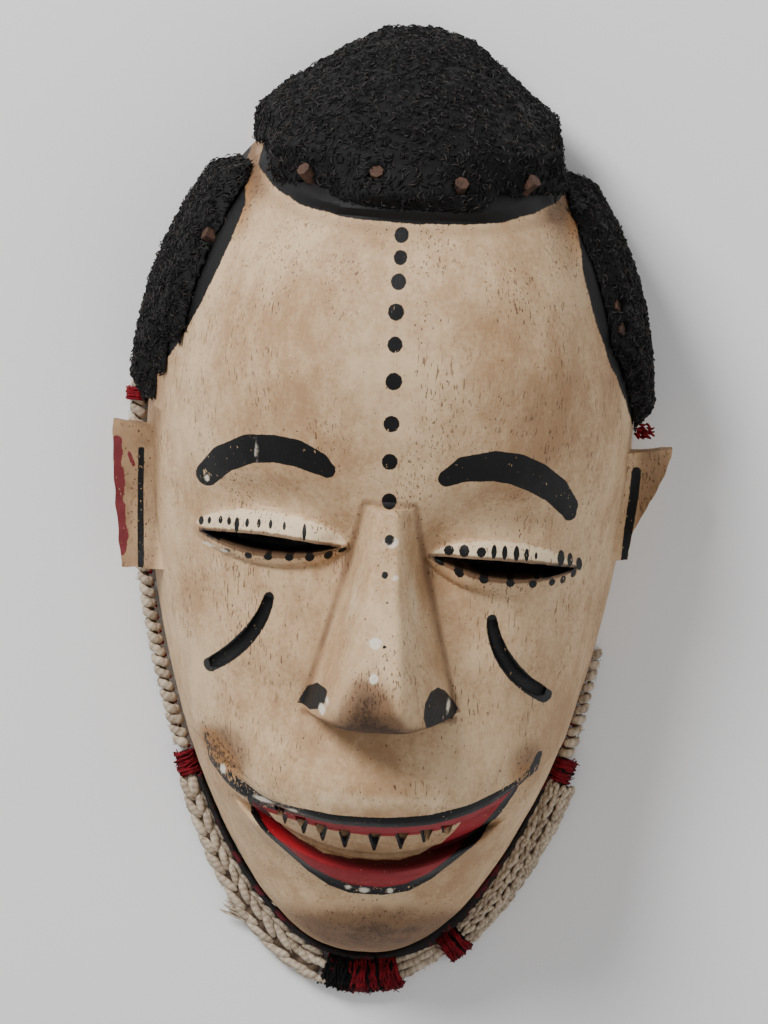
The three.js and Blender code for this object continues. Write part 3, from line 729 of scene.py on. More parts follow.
# Inner edge of the black ground beside each temple: y, distance from the middle line
TEMPLE_EDGE = {
    -1: [(27, 77), (37.1, 69.3), (44.9, 64.1), (52.9, 58.9), (62.3, 54.1), (70.3, 50.6), (79.1, 46.7),
         (89.5, 43.6), (94, 44.5), (112, 47.5)],
    1: [(22, 68.0), (33, 62.8), (41.7, 59.8), (53.1, 54.6), (64.1, 50.2), (76.7, 46.4), (89.8, 44.2),
        (96, 45.5), (112, 50.0)],
}
# Small marks: x, y, half width, half height
LASHES = [
    [(-51.2, 4.6, 0.8, 1.2), (-48.8, 5.3, 0.55, 1.0), (-45.6, 6.1, 0.6, 1.1), (-43.2, 6.2, 0.6, 1.1),
     (-41.0, 5.5, 0.7, 2.1), (-38.2, 6.5, 0.55, 1.2), (-35.0, 6.8, 0.55, 1.2), (-31.8, 7.0, 0.5, 1.2),
     (-28.1, 7.0, 0.45, 1.1), (-22.7, 5.9, 0.55, 2.3)],
    [(15.3, 3.0, 1.4, 1.4), (19.3, 3.3, 1.4, 1.7), (23.8, 3.1, 1.3, 1.4), (27.1, 3.3, 0.75, 1.9),
     (29.9, 3.0, 0.75, 1.9), (33.0, 2.7, 0.8, 2.0), (35.7, 2.2, 0.65, 1.7), (38.2, 1.8, 0.4, 1.0),
     (44.9, 0.5, 1.0, 2.2), (47.4, -0.3, 0.8, 1.9), (50.0, -2.0, 0.9, 1.8)],
    [(-43.5, -1.9, 0.9, 0.6), (-37.5, -2.2, 1.1, 0.9), (-32.1, -1.8, 1.2, 1.0), (-26.4, -1.2, 1.2, 1.1),
     (-21.0, -0.8, 1.3, 1.2), (-16.2, -0.2, 1.2, 1.2), (-12.6, 1.4, 1.2, 0.7)],
    [(12.9, -0.2, 1.4, 0.9), (18.2, -2.7, 1.4, 1.3), (24.8, -4.2, 1.3, 1.2), (31.8, -5.3, 1.2, 1.1),
     (37.8, -5.8, 1.1, 1.2), (42.9, -5.8, 0.9, 1.1), (45.8, -5.6, 0.8, 1.2), (48.6, -4.3, 0.8, 1.1)],
]
TOOTH_SPOTS = [
    (-24.9, -75.4, 0.9, 1.1), (-19.7, -76.9, 1.4, 1.9), (-14.5, -78.3, 1.5, 2.0), (-8.5, -79.8, 1.7, 2.2),
    (-0.6, -80.1, 1.8, 2.3), (6.5, -79.2, 1.6, 2.1), (12.7, -77.0, 1.3, 1.8), (17.8, -74.4, 0.9, 1.2),
]
# White marks: the first three, beside the black dots on the nose, and the fourth, on its tip, are painted
# highlights; the rest are chips of white
WHITE_SPOTS = [
    (-1.9, -18.6, 1.6, 1.5), (1.9, -2.6, 0.9, 0.7), (0.4, 6.2, 1.9, 1.4), (-1.9, -27.4, 1.1, 1.3),
    (-49.9, 16.6, 0.8, 1.0), (-36.2, 26.5, 0.35, 2.2), (-15.3, -38.8, 1.0, 1.5), (-14.0, -36.2, 0.5, 1.0),
    (17.3, -37.6, 0.4, 1.4), (-43.0, -64.4, 1.0, 1.4), (-30.8, -69.6, 2.6, 0.8), (-22.4, -69.8, 1.4, 0.7),
    (-48.8, -1.6, 1.6, 0.5), (-44.6, -2.3, 1.2, 0.45), (-7.2, -94.8, 1.2, 0.7), (-3.0, -95.4, 1.5, 0.8),
    (4.1, -95.2, 0.9, 0.9),
]
# Soft patches: amount, x, y, half width, half height
STAINS = [
    (1.8, 2, -110, 26, 10),                                                  # chin
    # The second patch on the next line, under the lower edge of the nose, is painted shade; the first is soot
    # on the tip
    (1.9, -3, -35, 7, 8), (1.4, -1, -42, 11, 4),                             # tip of the nose
    (1.2, -42, -57, 9, 8), (1.0, 39, -55, 6, 7), (0.45, 8, -60, 12, 6),      # upper lip
    (0.5, -30, -1, 18, 7), (0.6, 30, -4, 18, 7), (0.45, 34, 11, 20, 5),      # eyes
    (0.9, -44.5, 93, 5, 14), (0.9, 41.5, 93, 5, 14),                         # beside the crest
    (0.45, 46, 66, 9, 24), (0.35, 6, 60, 14, 14), (0.3, -40, -22, 14, 14),   # forehead and cheek
]
WORN = [
    (0.8, -27, -70, 8, 3), (0.9, 38, -59, 5, 5), (0.45, 0, -95, 12, 3), (0.5, -50, 18, 2, 4),
    (1.0, -45.5, 88, 4.5, 11), (1.0, 44.5, 88, 4.5, 11),
]
CREST_GROUND, EAR_GROUND = {"x": 2.2, "half": 43.5}, {"top": 29.5, "front": 14}
EAR_FROM, EARS_HIGH, FRONT_OF_EARS, FRONT_OF_MOUTH, FRONT_OF_FACE = 63, 32, 18, 30, 12
FAR = 9.0                                     # further than any painted edge reaches


def rows_of(p):
    """The carver's row of each point: the line along the face that the mouth bends up."""
    low, high = np.full(len(p), CHIN_Y - 1.0), np.full(len(p), CROWN_Y + 1.0)
    for _ in range(34):
        middle = (low + high) / 2
        under = middle + smile(middle, p[:, 0]) < p[:, 1]
        low, high = np.where(under, middle, low), np.where(under, high, middle)
    return (low + high) / 2


def outline(p, points):
    """Distance to a closed outline of (x, y) points, negative inside."""
    x, y = p[:, 0], p[:, 1]
    best, inside = np.full(len(p), 1e3), np.zeros(len(p), bool)
    for (x0, y0), (x1, y1) in zip(points, points[1:] + points[:1]):
        dx, dy = x1 - x0, y1 - y0
        t = clamp(((x - x0) * dx + (y - y0) * dy) / (dx * dx + dy * dy))
        best = np.minimum(best, np.hypot(x - x0 - t * dx, y - y0 - t * dy))
        if dy:
            inside ^= ((y0 > y) != (y1 > y)) & (x < x0 + (y - y0) * dx / dy)
    return np.where(inside, -best, best)


def patches(p, table):
    """Sum of soft round patches of (amount, x, y, half width, half height)."""
    return sum(
        amount * bell((p[:, 0] - x) / wide) * bell((p[:, 1] - y) / tall) for amount, x, y, wide, tall in table
    )


def hair_ground(p):
    """Distance to the wood that is painted black under and around the hair."""
    x, y, z = p.T
    wander = 0.4 * grain_noise(p, 9, 12.3, 2)
    best = np.maximum(-0.6 - inside_crest(x, y), np.abs(x - CREST_GROUND["x"]) - CREST_GROUND["half"])
    for side, edge in TEMPLE_EDGE.items():
        height, inner = np.array(edge, float).T
        band = np.maximum((np.interp(y, height, inner) - x * side) * 0.9, height[0] - y)
        best = np.minimum(best, np.maximum(band, y - TEMPLE["top"]))
    on_ears = (np.abs(x) > EAR_FROM) & (y < EAR_GROUND["top"]) & (z > EAR_GROUND["front"])
    return np.where(on_ears, FAR, best) + wander


def black_paint(p):
    """Dots, brows, the edges of the lips, cheek grooves, nostrils, tooth gaps and the strips on the ears."""
    parts = [spot(p, x, y, r, r * 1.05) for x, y, r in DOTS]
    parts += [stroke(p, stations) for stations in BROWS + [LIP_BAND, MOUTH_EDGE]]
    for points in SCARS:
        widths = mix(2.8, 4.3, np.sin(np.linspace(0.0, 2.5, 9)))
        parts.append(stroke(p, [(x, y, wide) for (x, y), wide in zip(scar_path(points, 9), widths)]))
    parts += [outline(p, points) for points in NOSTRILS]
    for x, y, wide, tall in TOOTH_SPOTS:
        top, low = y + tall + 1.5, y - tall
        parts.append(outline(p, [(x - wide, top), (x + wide, top), (x + 0.3, low), (x - 0.3, low)]))
    on_face = (p[:, 2] > FRONT_OF_FACE) & (np.abs(p[:, 0]) <= EAR_FROM)
    strips = np.minimum.reduce([stroke(p, stations) for stations in EAR_STRIPS])
    best = np.where(on_face, np.minimum.reduce(parts), FAR)
    return np.minimum(best, np.where(p[:, 2] > FRONT_OF_EARS, strips, FAR))


def red_paint(p):
    """Lips and the back of the mouth, and the rims of the ears."""
    upper = [(x, y) for x, y, _ in LIP_BAND[3:-1]]
    lower = [(x, y) for x, y, _ in MOUTH_EDGE[::-1]]
    mouth = np.maximum(outline(p, upper + lower), -outline(p, TEETH))
    rim, *dashes = [stroke(p, stations) for stations in EAR_RED]
    ear = np.minimum.reduce([rim + 0.9 * grain_noise(p, 3.0, 6.6, 2), *dashes])
    best = np.where(p[:, 2] > FRONT_OF_MOUTH, mouth, FAR)
    return np.minimum(best, np.where(p[:, 2] > FRONT_OF_EARS, ear, FAR))


def white_chips_and_highlights(p):
    """Chips of thick white, and painted highlights beside the black dots on the nose and on its tip; no white
    lies on a black dot.
    """
    rough = 0.25 * grain_noise(p, 1.1, 2.9, 2)
    dots = np.minimum.reduce([spot(p, x, y, r, r) for x, y, r in DOTS])
    return np.maximum(np.minimum.reduce([spot(p, *one) for one in WHITE_SPOTS]) + rough, -dots)


def nose_foot(p):
    """How near a point is to the line where the nose leaves the face, where the crease gets painted shade."""
    x, y = p[:, 0], p[:, 1]
    out = np.abs(x - NOSE_X)
    side = bell((out - nose_half(down_nose(y)) - 0.6) / 1.5) * (y < NOSE_TOP + 1) * (y > WING_Y)
    under = bell((y - TIP_Y - 0.6) / 1.3) * (out < WING_HALF)
    top = bell((y - NOSE_TOP - 1.2) / 1.5) * (out < ROOT_HALF + 1)
    return np.maximum(side, np.maximum(under, top))


def stains(p):
    """Brown smoke and dirt, mostly at the chin, the tip of the nose and around the hair and ears, and painted
    shade under the nose and in the crease where the nose leaves the face.
    """
    x, y = p[:, 0], p[:, 1]
    on_ears = ramp(61.5, 66.5, np.abs(x)) * (np.abs(y) < EARS_HIGH)
    by_crest = bell((inside_crest(x, y) + 2.5) / 2.5)
    # nose_foot adds painted shade along the crease at the foot of the nose
    return patches(p, STAINS) + 0.8 * on_ears + 0.6 * by_crest + 0.9 * nose_foot(p)


def cream_and_highlights(p):
    """Thicker white on the lids and above the lip, with a painted highlight on the upper half of each lid and
    along the edges of the nose.
    """
    x, y, z = p.T
    upper = np.zeros(len(p))
    for eye in EYES:
        across = y - eye["lid_y"] - eye["tilt"] * (x - eye["x"])
        upper = np.maximum(upper, ramp(-0.3, 0.8, across) * (np.abs(x - eye["x"]) < eye["lid"][0] + 3))
    # The upper half of each lid gets more cream: a painted highlight where the lid faces up
    lids_on = ramp(0.05, 1.2, lids(x, y)) * (z > 40) * mix(0.3, 1.1, upper)
    lip = 0.8 * bell(x / 36) * bell((y + 64.5 - 0.005 * x * x) / 4.5)
    out = np.abs(x - NOSE_X) / nose_half(down_nose(y))
    # Painted highlight along the edges of the nose
    nose_side = 0.75 * bell((out - 0.66) / 0.2) * bell((y + 10) / 18)
    rim = 0.6 * bell((z - 9) / 5) * (y < -40)
    return lids_on + lip + nose_side + rim + patches(p, [(0.45, -30, 50, 18, 22)])


def wear(p):
    """Where the paint is rubbed and eaten away, most of all at the left end of the upper lip."""
    x, y = p[:, 0], p[:, 1]
    lip_end = 1.7 * bell((x + 43) / 7) * bell((y + 60 + 0.5 * (x + 43)) / 6)
    on_ears = 0.2 * (np.abs(x) > 58) * (np.abs(y) < 35)
    return patches(p, WORN) + lip_end + on_ears


def slit_edge(p):
    """Distance to the eye slits, in mm."""
    best = np.full(len(p), FAR)
    for eye in EYES:
        x, y = p[:, 0] - eye["x"], p[:, 1] - eye["y"]
        cos, sin = math.cos(eye["tilt"]), math.sin(eye["tilt"])
        along, up = x * cos + y * sin, y * cos - x * sin
        bow = 1 - (along / eye["half"]) ** 2
        away = np.maximum(up - eye["rise"] * bow, -up - eye["fall"] * bow)
        best = np.minimum(best, np.where(bow > -0.15, away, FAR))
    return best


# Shader maths

class Value:
    """A socket that adds Math nodes to its tree when it is worked with."""

    def __init__(self, shader, socket):
        self.shader, self.socket = shader, socket

    def math(self, operation, *others):
        inputs = {0: self.socket}
        for i, other in enumerate(others):
            inputs[i + 1] = other.socket if isinstance(other, Value) else other
        return self.shader.node("ShaderNodeMath", {"operation": operation}, inputs)

    def __add__(self, other): return self.math("ADD", other)
    def __radd__(self, other): return self.math("ADD", other)
    def __mul__(self, other): return self.math("MULTIPLY", other)
    def __rmul__(self, other): return self.math("MULTIPLY", other)
    def __sub__(self, other): return self.math("SUBTRACT", other)
    def __rsub__(self, other): return (self * -1) + other
    def __truediv__(self, other): return self.math("DIVIDE", other)
    def least(self, other): return self.math("MINIMUM", other)
    def most(self, other): return self.math("MAXIMUM", other)
    def absolute(self): return self.math("ABSOLUTE")

    def ramp(self, start, end):
        """0 at start and 1 at end, smooth between them."""
        inputs = {"Value": self.socket, "From Min": start, "From Max": end, "To Min": 0.0, "To Max": 1.0}
        if start > end:
            inputs.update({"From Min": end, "From Max": start, "To Min": 1.0, "To Max": 0.0})
        return self.shader.node("ShaderNodeMapRange", {"interpolation_type": "SMOOTHSTEP"}, inputs)


# Outline of one small mark: shares of its half width out and of its half height up
MARK_SHAPE = ((-1.6, -0.7), (-1, 0), (-0.7, 0.72), (0, 1), (0.7, 0.72), (1, 0), (1.6, -0.7))


class Shader:
    """A material whose nodes are made by working with Values."""

    def __init__(self, name):
        self.material = bpy.data.materials.new(name)
        self.material.use_nodes = True
        self.tree = self.material.node_tree
        self.base = next(n for n in self.tree.nodes if n.type == "BSDF_PRINCIPLED")
        self.place = self.node("ShaderNodeTexCoord", {}, {}, "Object").socket

    def node(self, kind, settings, inputs, output=0):
        made = self.tree.nodes.new(kind)
        for name, value in settings.items():
            setattr(made, name, value)
        for key, value in inputs.items():
            value = value.socket if isinstance(value, Value) else value
            if isinstance(value, bpy.types.NodeSocket):
                self.tree.links.new(value, made.inputs[key])
            else:
                made.inputs[key].default_value = value
        return Value(self, made.outputs[output])

    def attribute(self, name):
        return self.node("ShaderNodeAttribute", {"attribute_name": name}, {}, "Fac")

    def noise(self, size, detail=3.0, roughness=0.55, seed=0.0):
        """Noise from 0 to 1 with lumps of size mm; size may be one for each axis."""
        sizes = size if isinstance(size, tuple) else (size, size, size)
        scale = tuple(1 / (s * MM) for s in sizes)
        mapped = self.node("ShaderNodeMapping", {}, {
            "Vector": self.place, "Scale": scale, "Location": (seed, seed * 1.7, seed * 0.6),
        })
        return self.node("ShaderNodeTexNoise", {}, {
            "Vector": mapped, "Scale": 1.0, "Detail": detail, "Roughness": roughness,
        }, "Fac")

    def place_mm(self, axis):
        """The place along an axis in mm about the carver's middle line."""
        parts = self.node("ShaderNodeSeparateXYZ", {}, {"Vector": self.place}, axis)
        return parts / MM - CENTRE["XYZ".index(axis)]

    def curve(self, value, stations, low=0.0, high=1.0):
        """A broken line through (x, y) stations; x runs from 0 to 1, and y from low to high."""
        made = self.node("ShaderNodeFloatCurve", {}, {"Value": value})
        mapping = made.socket.node.mapping
        points = mapping.curves[0].points
        heights = [(x, (y - low) / (high - low)) for x, y in stations]
        while len(points) < len(heights):
            points.new(0.5, 0.5)
        for point, place in zip(points, heights):
            point.location = place
            point.handle_type = "VECTOR"
        mapping.update()
        return made * (high - low) + low

    def row_of_marks(self, across, up, marks):
        """Distance in mm to a row of small painted marks: x, y, half width, half height."""
        start, end = marks[0][0] - 4, marks[-1][0] + 4
        along = (across - start) / (end - start)
        middles = [((x - start) / (end - start), y) for x, y, _, _ in marks]
        reach = [(0.0, -2.0)]
        for x, y, wide, tall in marks:
            for out, height in MARK_SHAPE:
                reach.append(((x + out * wide - start) / (end - start), height * tall))
        reach.append((1.0, -2.0))
        reach = [reach[0]] + [b for a, b in zip(reach, reach[1:]) if b[0] > a[0] + 1e-4]
        away = (up - self.curve(along, middles, -10, 10)).absolute()
        return away - self.curve(along, reach, -3, 3)

    def blend(self, low, high, amount):
        """A colour between low and high."""
        low, high = ((*v, 1.0) if isinstance(v, tuple) else v for v in (low, high))
        return self.node("ShaderNodeMix", {"data_type": "RGBA"}, {6: low, 7: high, 0: amount}, 2)

    def finish(self, colour, rough, bump=None, depth=0.2, **constants):
        """Links what varies and sets what doesn't. depth is the bump's height in mm."""
        for name, value in (("Base Color", colour), ("Roughness", rough)):
            if isinstance(value, Value):
                self.tree.links.new(value.socket, self.base.inputs[name])
            else:
                self.base.inputs[name].default_value = value
        if bump is not None:
            height = self.node("ShaderNodeBump", {}, {
                "Height": bump, "Distance": depth * MM, "Strength": 1.0,
            }, "Normal")
            self.tree.links.new(height.socket, self.base.inputs["Normal"])
        for name, value in constants.items():
            self.base.inputs[name.replace("_", " ")].default_value = value
        return self.material


def rgb(red, green, blue):
    """A colour as it is seen, from 0 to 255, for a shader."""
    seen = [v / 255 for v in (red, green, blue)]
    return tuple(((v + 0.055) / 1.055) ** 2.4 if v > 0.0404 else v / 12.92 for v in seen)


def painted_wood():
    """Kaolin ground with stains, pores and wear, and over it the red, the black and the white paint; painted
    shade at the foot of the nose, under it, deep in the mouth and on the walls of the eye slits, and painted
    highlights on the lids and the nose.
    """
    s = Shader("painted_wood")
    black, red, ground, inside = (s.attribute(n) for n in ("black", "red", "ground", "inside"))
    tone, stain, pale, worn = (s.attribute(n) for n in ("tone", "stain", "pale", "worn"))
    recess_shade, slit, slot, white = (s.attribute(n) for n in ("recess_shade", "slit", "slot", "white"))
    broad = s.noise(26, 4, 0.6, seed=2.0)
    cloud = s.noise((5, 9, 5), 5, 0.68, seed=5.0)
    fine = s.noise(1.1, 3, 0.6, seed=9.0)
    fibres = s.noise((0.5, 9, 0.5), 3, 0.6, seed=1.0)
    pores = s.noise((0.5, 3.6, 0.5), 1.5, 0.5, seed=14.0)
    where = s.noise((15, 26, 15), 3, 0.55, seed=21.0)

    mottled = (broad * 0.3 + cloud * 0.45 + fine * 0.25 + tone * 0.15).ramp(0.32, 0.68)
    light = s.blend(rgb(172, 136, 100), rgb(216, 186, 148), mottled)
    light = s.blend(light, rgb(154, 116, 82), (fibres * 0.6 + where * 0.5 - tone * 0.2).ramp(0.6, 0.95) * 0.4)
    # pale: thicker cream, with painted highlights on the upper lids and along the edges of the nose
    light = s.blend(light, rgb(236, 214, 178), (pale * (cloud * 0.8 + 0.4)).ramp(0.35, 0.95) * 0.85)
    # stain holds real stains and also painted shade under the nose and at its foot
    light = s.blend(light, rgb(112, 80, 54), (stain * (cloud * 1.3 + fine * 0.4)).ramp(0.25, 1.0) * 0.85)
    light = s.blend(light, rgb(66, 47, 36), (stain * (cloud * 1.3 + fine * 0.4)).ramp(1.0, 2.0) * 0.85)
    pore = (pores - where * 0.12 - stain * 0.02).ramp(0.292, 0.255) * (where * 1.2).ramp(0.5, 0.74)
    crack = s.noise((0.5, 12, 0.5), 2, 0.55, seed=77.0).ramp(0.3, 0.25) * (where * 1.2).ramp(0.45, 0.65)
    pore = pore.most(crack)
    light = s.blend(light, rgb(88, 58, 37), pore * 0.75)
    light = s.blend(light, rgb(158, 112, 66), (worn * (cloud + 0.4)).ramp(0.3, 0.9) * 0.7)
    pits = (s.noise((0.8, 1.2, 0.8), 2, 0.5, seed=52.0) - stain * 0.05 - worn * 0.09).ramp(0.28, 0.25)
    light = s.blend(light, rgb(66, 45, 31), pits * 0.8)
    strip = (slit - s.noise(1.5, 3, 0.6, seed=61.0) * 0.9).ramp(0.75, 0.1)
    light = s.blend(light, rgb(92, 62, 40), strip * 0.85)

    across, up = s.place_mm("X"), s.place_mm("Y")
    edge = (fine - 0.5) * 0.5 + (fibres - 0.5) * 0.3
    chip = (s.noise((0.9, 1.8, 0.9), 3, 0.6, seed=33.0) + worn * 0.2).ramp(0.68, 0.72)
    marks = s.row_of_marks(across, up, LASHES[0])
    for row in LASHES[1:]:
        marks = marks.least(s.row_of_marks(across, up, row))
    lined = (black + edge * 0.55).ramp(0.12, -0.12).most((marks + edge * 0.4).ramp(0.12, -0.12))
    black_mask = lined * (1 - chip)
    red_mask = (red + edge * 0.4).ramp(0.12, -0.12) * (1 - chip * 0.7)
    ground_mask = (ground + edge * 1.2).ramp(0.15, -0.15)
    scratch = s.noise((0.35, 2.2, 0.35), 2, 0.6, seed=41.0).ramp(0.6, 0.8)
    soot = s.blend(rgb(7, 7, 8), rgb(44, 44, 47), scratch * 0.4 + (cloud - 0.45) * 0.4)
    lip = s.blend(rgb(150, 18, 30), rgb(96, 18, 24), (cloud * 0.8 + scratch * 0.35).ramp(0.35, 0.75))
    # Painted shade: the red darkens deep in the mouth, between the teeth and the lower lip
    lip = s.blend(lip, rgb(60, 8, 15), recess_shade * 0.9)
    lip = s.blend(lip, rgb(112, 42, 46), across.ramp(-60.0, -66.0))
    bare = s.blend(rgb(74, 50, 34), rgb(126, 94, 66), (fibres * 0.6 + cloud * 0.4).ramp(0.3, 0.7))

    colour = s.blend(light, lip, red_mask)
    colour = s.blend(colour, soot, black_mask)
    colour = s.blend(colour, s.blend(rgb(8, 7, 7), rgb(40, 35, 32), scratch * 0.45), ground_mask)
    # White chips, with the painted highlights on the nose
    chalk_and_highlights = (white + edge * 0.9 + (cloud - 0.5) * 0.8).ramp(0.3, -0.35)
    colour = s.blend(colour, rgb(232, 222, 204), chalk_and_highlights * 0.9)
    colour = s.blend(colour, bare, inside)
    # Painted shade: the walls of the eye slits are near black
    colour = s.blend(colour, rgb(16, 13, 12), slot)
    rough = 0.6 + cloud * 0.2 - black_mask * 0.12 - red_mask * 0.08 - ground_mask * 0.05
    bump = cloud * 0.5 + fibres * 0.35 + fine * 0.2 - pore * 0.7 - pits * 0.8 + (lined + red_mask) * 0.25
    return s.finish(colour, rough, bump, 0.16, Specular_IOR_Level=0.3)


def paint_wood(piece):
    """The attributes that painted_wood reads."""
    p = points_of(piece)
    row = rows_of(p)
    normal = normals_of(piece)
    back = ramp(-0.15, -0.45, normal[:, 2]) * (np.abs(p[:, 0]) < EAR_FROM + 1)
    slit = slit_edge(p)
    # Rows between the teeth and the lower lip, whose red gets painted shade
    mouth_shade_rows = ramp(-83.0, -85.0, row) * ramp(-90.0, -87.0, row) * (p[:, 2] > FRONT_OF_MOUTH)
    for name, values in (
        ("black", black_paint(p)), ("ground", hair_ground(p)), ("red", red_paint(p)), ("white", white_chips_and_highlights(p)),
        ("inside", back), ("tone", grain_noise(p, 34, 2.2, 2)), ("stain", stains(p)), ("pale", cream_and_highlights(p)),
        ("worn", wear(p)), ("recess_shade", mouth_shade_rows), ("slit", slit),
        # slot: the walls of the eye slits, painted near black as shade
        ("slot", (slit < 0.35) * (np.hypot(*normal[:, :2].T) > 0.8)),
    ):
        attribute(piece, name, values)


def carved_wood():
    piece = wooden_shell()
    boolean(piece, ears(), "UNION")
    boolean(piece, cutters(), "DIFFERENCE")
    paint_wood(piece)
    dress(piece, painted_wood(), "mask_shell")
    piece.data.set_sharp_from_angle(angle=math.radians(38))


# Hair

CURL_LONG, CURL_THICK, CURL_RISE = (1.5, 2.9), (0.15, 0.24), (0.3, 0.95)
CURL_START = np.array([0.35, 1.0, 0.2])       # the way that curls lie before they are turned


def curls(name, at, out, rng):
    """Small bent strands that lie on a surface, one at each point."""
    count = len(at)
    piece, shape = copies(name, tube(3, 4), count)
    turn = 5.0 * swirl_noise(at, 4.5, 3.3) + 4.0 * swirl_noise(at, 1.7, 8.8) + rng.normal(0, 0.5, count)
    first = unit(np.cross(out, CURL_START))
    second = np.cross(out, first)
    ahead = first * np.cos(turn)[:, None] + second * np.sin(turn)[:, None]
    side = np.cross(out, ahead)
    t, spin = shape[:, 2], shape[:, :2]
    arch = np.sin(np.pi * t)
    long = rng.uniform(*CURL_LONG, count)[:, None]
    up = rng.uniform(*CURL_RISE, count)[:, None]
    bend = rng.normal(0, 0.75, count)[:, None]
    radius = rng.uniform(*CURL_THICK, count)[:, None] * (1 - 0.75 * np.abs(2 * t - 1) ** 3)
    tip = rng.uniform(-0.2, 0.75, count)[:, None]
    points = at[:, None] + ahead[:, None] * (long * (t - 0.5))[..., None]
    points += side[:, None] * (bend * arch + radius * spin[:, 0])[..., None]
    points += out[:, None] * (up * arch - 0.3 + tip * t * t + radius * spin[:, 1])[..., None]
    put_points(piece, points)
    attribute(piece, "shade", np.repeat(rng.uniform(0, 1, count), len(shape)))
    # high: how far each part of a curl stands up; raised parts get a painted highlight
    attribute(piece, "high", np.broadcast_to((up * arch + tip * t * t), (count, len(t))).ravel())
    return piece


HEAD_MIDDLE = np.array([-1.5, 30.0, 0.0])
PEG_ROOM = 1.6                                # no curl starts nearer to the middle of a peg


def peg_pieces():
    return [piece for piece in bpy.data.objects if "_peg_" in piece.name]


def fuller(p):
    """The wool bulges past the edges that hold it."""
    x, y, z = p.T
    on_crest = inside_crest(x, y) > -6
    x = x + on_crest * (np.where(x > 0, 3.2, -1.6) * ramp(22, 40, np.abs(x - 1.5)))
    y = y - on_crest * 1.2 * ramp(104, 94, y)
    return np.stack([x, y, z], axis=-1)


def hair_mat(node, count, seed):
    """A wool mat: a lumpy ground with small curls all over its outer side."""
    rng = np.random.default_rng(seed)
    ground = copy_of(node, node + "_wool", 1.1)
    p = fuller(points_of(ground)) if node == "crest_hair" else points_of(ground)
    normal = normals_of(ground)
    outer = ramp(-0.1, 0.35, (normal * unit(p - HEAD_MIDDLE)).sum(axis=1))
    lumps = 0.55 * np.abs(grain_noise(p, 3.2, seed, 2)) + 0.25 * grain_noise(p, 1.3, seed + 4, 1)
    put_points(ground, p + normal * ((lumps - 0.15) * outer)[:, None])
    pegs = [np.array(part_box(peg.name)).mean(axis=0) / MM - CENTRE for peg in peg_pieces()]

    def clear(centre, way):
        away = np.min([
            np.linalg.norm(np.cross(centre - peg, unit(peg - HEAD_MIDDLE)), axis=1) for peg in pegs
        ], axis=0)
        return ((way * unit(centre - HEAD_MIDDLE)).sum(axis=1) > 0.05) * (away > PEG_ROOM)

    at, out = scattered(ground, count, rng, clear)
    tufts = curls(node + "_curls", at, out, rng)
    # The ground under the curls gets a low shade and high, so it stays darkest, as painted shade between them
    attribute(ground, "shade", np.full(len(p), 0.1))
    attribute(ground, "high", lumps - 0.4)
    return ground, tufts


def hair_fibre():
    s = Shader("black_wool")
    shade, high = s.attribute("shade"), s.attribute("high")
    clump = s.noise(5, 3, 0.6, seed=4.0)
    fibre = s.noise((0.25, 0.25, 0.25), 2, 0.6, seed=8.0)
    dark = s.blend(rgb(4, 4, 4), rgb(30, 27, 27), (shade * 0.7 + fibre * 0.5).ramp(0.2, 0.95))
    # Painted highlight: a light grey on the raised parts of the curls, and on random curls and clumps
    highlight_grey = s.blend(rgb(66, 63, 62), rgb(78, 67, 58), clump.ramp(0.5, 0.75))
    colour = s.blend(dark, highlight_grey, (shade + high * 0.4 + clump * 0.5).ramp(1.0, 1.6) * 0.8)
    return s.finish(colour, 0.72, fibre, 0.06, Specular_IOR_Level=0.25)


def hair():
    wool = hair_fibre()
    for node, count, seed in (
        ("crest_hair", 6850, 5), ("left_temple_hair", 3000, 6), ("right_temple_hair", 3000, 7),
    ):
        ground, tufts = hair_mat(node, count, seed)
        dress(ground, wool, node)
        dress(tufts, wool)


def peg_ends():
    """The pegs keep their CAD shape and get a dry, cracked end grain."""
    s = Shader("peg_end_grain")
    rings = s.noise(0.5, 4, 0.65, seed=3.0)
    stain = s.noise(2.2, 3, 0.6, seed=6.0)
    colour = s.blend(rgb(44, 28, 21), rgb(92, 62, 45), (rings * 0.6 + stain * 0.5).ramp(0.35, 0.75))
    colour = s.blend(colour, rgb(30, 22, 19), s.noise(0.35, 2, 0.5, seed=9.0).ramp(0.62, 0.72))
    material = s.finish(colour, 0.8, rings, 0.15)
    for peg in peg_pieces():
        for slot in peg.material_slots:
            slot.material = material


# Knitted and corded trim around the jaw

RIM_TOP_Y = 45.0
RIM_SIDE = np.linspace(-1, 1, 1201)
RIM_Y = CHIN_Y + (RIM_TOP_Y - CHIN_Y) * RIM_SIDE ** 2
RIM_X = np.sign(RIM_SIDE) * half_width(RIM_Y) + RIM_LEAN
RIM_LENGTH = np.concatenate([[0], np.cumsum(np.hypot(np.diff(RIM_X), np.diff(RIM_Y)))])
CHIN = len(RIM_SIDE) // 2
RIM_LENGTH -= RIM_LENGTH[CHIN]


def rim_left(y):
    """Length along the wood's edge, from the chin, to a height on the left."""
    return float(np.interp(-y, -RIM_Y[:CHIN + 1], RIM_LENGTH[:CHIN + 1]))


def rim_right(y):
    return float(np.interp(y, RIM_Y[CHIN:], RIM_LENGTH[CHIN:]))


def rim_chin(x):
    """Length along the wood's edge to a place below the mouth."""
    below = slice(CHIN - 200, CHIN + 200)
    return float(np.interp(x, RIM_X[below], RIM_LENGTH[below]))


